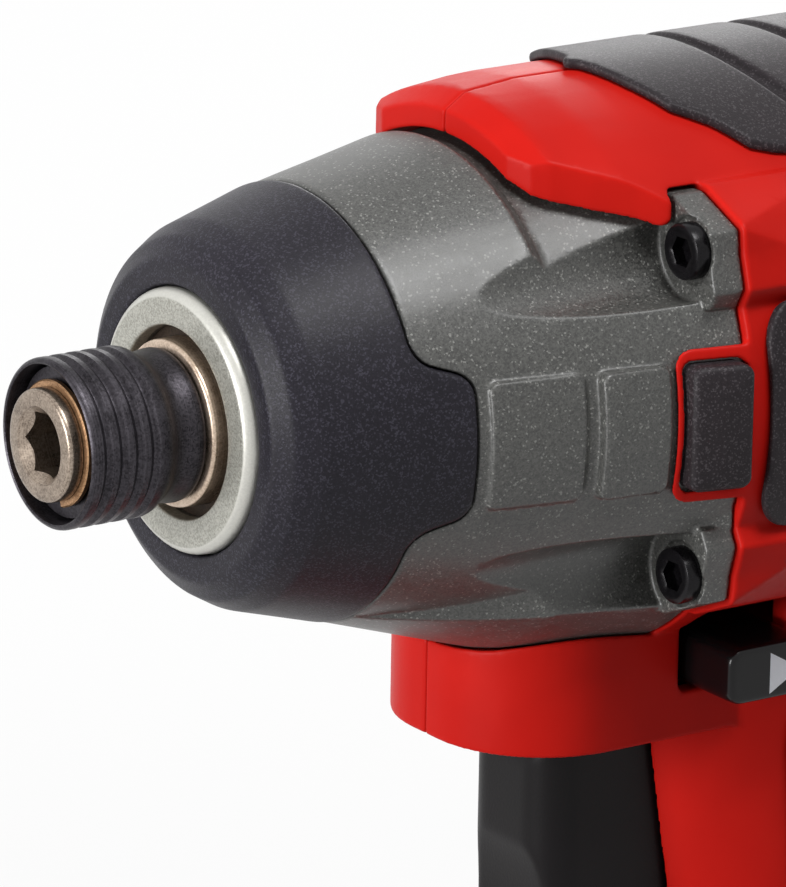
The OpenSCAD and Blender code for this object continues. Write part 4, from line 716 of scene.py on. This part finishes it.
# Covers: soft rubber moulded over the top and the sides of the barrel and the back of the handle.
# The rubber is the boot's charcoal, a little warmer; cross grooves give the top pad its hold.
COVER_VOXEL = 0.0002
GRIP_VOXEL = 0.0003
cover_rubber = rubber_material("cover_rubber", srgb(44, 39, 42), srgb(104, 98, 102), share=0.24, shine=0.36)
for node, voxel in (("top_pad", COVER_VOXEL), ("side_panel_left", COVER_VOXEL),
                    ("side_panel_right", COVER_VOXEL), ("rear_grip", GRIP_VOXEL)):
    dress(moulded(node + "_rubber", node, voxel), cover_rubber, "tool", "rubber", node)

# Side bumpers: thick rubber blocks pressed into the red frames on both sides of the case.
# They stand proud with rounded edges and take the knocks when the tool is laid on its side.
# Sizes are in millimetres; front and rear are distances behind the boss ring.
BUMPER_FRONT = 43.9
BUMPER_REAR = 50.6
BUMPER_HALF = 6.8
BUMPER_CORNER = 1.2
LEAST_CORNER = 0.1
BUMPER_EDGE = 0.7
BUMPER_ROOT = -1.6
BUMPER_TOP = 1.7
BUMPER_CROWN = 0.04
CROWN_INSETS = (0.8, 1.6, 2.4)
BUMPER_CRISP = 60.0
FRAME_R = 29.78
FRAME_SLOPE = 0.224
FRAME_FRONT = 42.8
ROUND_STEPS = 6
bumper_middle = (BUMPER_FRONT + BUMPER_REAR) / 2


def bumper_ring(inset):
    """The bumper's outline drawn in by an inset: distance behind the boss ring and height, round corners."""
    points = []
    corner = max(BUMPER_CORNER - inset, LEAST_CORNER)
    for quarter, (s, z) in enumerate(((BUMPER_REAR, BUMPER_HALF), (BUMPER_FRONT, BUMPER_HALF),
                                      (BUMPER_FRONT, -BUMPER_HALF), (BUMPER_REAR, -BUMPER_HALF))):
        s -= math.copysign(inset + corner, s - bumper_middle)
        z -= math.copysign(inset + corner, z)
        for k in range(ROUND_STEPS + 1):
            a = (quarter + k / ROUND_STEPS) * math.pi / 2
            points.append((s + corner * math.cos(a), z + corner * math.sin(a)))
    return points


edge_turns = [k / ROUND_STEPS * math.pi / 2 for k in range(ROUND_STEPS + 1)]
bumper_layers = [(0.0, BUMPER_ROOT)]
bumper_layers += [(BUMPER_EDGE * (1 - math.cos(a)), BUMPER_TOP - BUMPER_EDGE * (1 - math.sin(a)))
                  for a in edge_turns]
bumper_layers += [(BUMPER_EDGE + inset, BUMPER_TOP + inset * BUMPER_CROWN) for inset in CROWN_INSETS]
for side, name in ((1, "left"), (-1, "right")):
    block = bmesh.new()
    rings = []
    for inset, rise in bumper_layers:
        ring = []
        for s, z in bumper_ring(inset):
            r = FRAME_R + FRAME_SLOPE * (s - FRAME_FRONT) + rise
            ring.append(block.verts.new(from_ring(-s, side * math.sqrt(r * r - z * z), z)))
        rings.append(ring)
    for here, there in zip(rings, rings[1:]):
        wall(block, here, there)
    block.faces.new(rings[0])
    block.faces.new(rings[-1])
    bumper = finished("side_bumper_" + name + "_rubber", block)
    soften_edges(bumper, BUMPER_CRISP)
    dress(bumper, cover_rubber, "tool", "rubber", "side_bumper_" + name)

# Trigger and direction selector: black nylon, moulded smooth and worn to a sheen by the finger.
# Both slide in guides of the housing: the trigger straight back, the selector from side to side.
TRIGGER_VOXEL = 0.0003
SELECTOR_VOXEL = 0.0002
CONTROL_ROUND = 1.6
trigger_plastic = moulded_plastic("trigger_plastic", srgb(24, 21, 23), srgb(18, 16, 17),
                                  gloss=0.34, texture=0.3, mirror=0.12)
selector_plastic = moulded_plastic("selector_plastic", srgb(14, 13, 14), srgb(9, 8, 9),
                                   gloss=0.16, texture=0.06)
trigger = moulded("trigger_moulding", "trigger", TRIGGER_VOXEL, CONTROL_ROUND)
dress(trigger, trigger_plastic, "trigger", "black_plastic", "trigger")
selector = moulded("selector_moulding", "direction_selector", SELECTOR_VOXEL, CONTROL_ROUND)
dress(selector, selector_plastic, "selector", "black_plastic", "direction_selector")

# A white arrow is let into each end of the selector: rearwards on the left, forwards on the right.
# Its front is a distance behind the boss ring, in millimetres; its two depths are in metres.
ARROW_FRONT = 60.6
ARROW_LONG = 4.0
ARROW_HALF = 2.3
ARROW_Z = -31.4
ARROW_SUNK = 0.00015
ARROW_PROUD = 0.00002
arrow_white = moulded_plastic("arrow_white", srgb(232, 234, 240), srgb(222, 224, 232),
                              gloss=0.3, texture=0.05)
selector_low, selector_high = (Vector(corner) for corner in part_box("direction_selector"))
arrows = bmesh.new()
for side, face_y in ((1, selector_high.y), (-1, selector_low.y)):
    base, tip = (ARROW_FRONT, ARROW_FRONT + ARROW_LONG)[::side]
    outline = ((base, ARROW_Z + ARROW_HALF), (base, ARROW_Z - ARROW_HALF), (tip, ARROW_Z))
    sunk, proud = ([arrows.verts.new((ring_centre.x - s / 1000, face_y + side * depth,
                                      ring_centre.z + z / 1000)) for s, z in outline]
                   for depth in (-ARROW_SUNK, ARROW_PROUD))
    arrows.faces.new(sunk)
    arrows.faces.new(proud)
    wall(arrows, sunk, proud)
selector_arrows = finished("selector_arrows", arrows)
dress(selector_arrows, arrow_white, "selector", "pale_plastic")

# Battery pack: a dark lower shell and a red upper shell of nylon, screwed together round the cells.
# It slides on the rails of the foot from the front, and the dark latch in its front end locks it there.
PACK_VOXEL = 0.0004
PACK_ROUND = 1.5
dark_nylon = moulded_plastic("dark_nylon", srgb(46, 44, 48), srgb(36, 34, 38), gloss=0.42, texture=0.3)
for node, finish, body, slot in (("battery_lower_case", dark_nylon, "battery", "black_plastic"),
                                 ("battery_upper_case", red_nylon, "battery", "red_plastic"),
                                 ("battery_latch", dark_nylon, "latch", "black_plastic")):
    dress(moulded(node + "_moulding", node, PACK_VOXEL, PACK_ROUND), finish, body, slot, node)

# Inner pieces: what the housing hides, each in the finish of its own stuff, except the anvil bush, which is
# coloured near black as painted shade.
# Gears, balls and bearings are steel; the windings are copper; the cells wear a plastic wrap.
copper = turned_steel("copper_winding", srgb(150, 84, 48), srgb(206, 132, 84),
                      metal=0.9, rough=0.35, rings=1500)
gear_steel = turned_steel("gear_steel", srgb(86, 86, 90), srgb(140, 140, 144),
                          metal=0.9, rough=0.34, rings=3000)
motor_steel = turned_steel("motor_steel", srgb(120, 122, 124), srgb(176, 178, 180),
                           metal=0.85, rough=0.4, rings=1200)
ferrite = moulded_plastic("ferrite", srgb(52, 52, 54), srgb(40, 40, 42), gloss=0.6, texture=0.4)
pale_plastic = moulded_plastic("pale_plastic", srgb(222, 218, 206), srgb(204, 200, 188),
                               gloss=0.4, texture=0.2)
green_board = moulded_plastic("green_board", srgb(24, 92, 52), srgb(16, 70, 40), gloss=0.35, texture=0.1)
cell_wrap = moulded_plastic("cell_wrap", srgb(44, 84, 168), srgb(34, 66, 140), gloss=0.3, texture=0.1)
carbon = moulded_plastic("carbon", srgb(34, 34, 36), srgb(24, 24, 26), gloss=0.55, texture=0.4)
lens_clear = moulded_plastic("lens_clear", srgb(236, 238, 240), srgb(222, 226, 230),
                             gloss=0.08, texture=0.05)
inner = {
    bright_steel: ("lock_ball_left", "lock_ball_right", "thrust_washer", "spring_washer", "thrust_balls",
                   "cam_balls", "planet_pins", "spindle_bearing", "front_bearing", "rear_bearing",
                   "motor_shaft"),
    gear_steel: ("hammer", "spindle", "planet_gear_1", "planet_gear_2", "planet_gear_3", "ring_gear",
                 "gearbox_plate"),
    clip_steel: ("clip_inserts", "battery_contacts"),
    # The anvil bush takes the near-black bronze that paints the shade of its gap.
    oiled_bronze: ("anvil_bush",),
    sleeve_steel: ("sleeve_washer",),
    copper: ("armature", "commutator"),
    motor_steel: ("motor_can",),
    ferrite: ("motor_magnets",),
    pale_plastic: ("motor_fan", "brush_holder"),
    dark_nylon: ("motor_end_cap", "switch_body", "terminal_block"),
    carbon: ("carbon_brushes",),
    green_board: ("lamp_board",),
    cell_wrap: ("battery_cells",),
    lens_clear: ("lamp_lens",),
    black_gloss: ("housing_screws", "battery_screws"),
}
for finish, nodes in inner.items():
    for node in nodes:
        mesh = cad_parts[node].data
        mesh.materials.clear()
        mesh.materials.append(finish)


def coil(node, body):
    """A CAD spring's mesh copied as a piece of its own, in bright steel, riding on a body."""
    spring = bpy.data.objects.new(f"{node}_coil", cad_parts[node].data.copy())
    spring.data.transform(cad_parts[node].matrix_world)
    scene.collection.objects.link(spring)
    dress(spring, bright_steel, body, "bright_steel", node)
    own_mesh(spring)


coil("hammer_spring", "spindle")
coil("sleeve_spring", "anvil")
coil("trigger_spring", "tool")
coil("latch_spring", "battery")
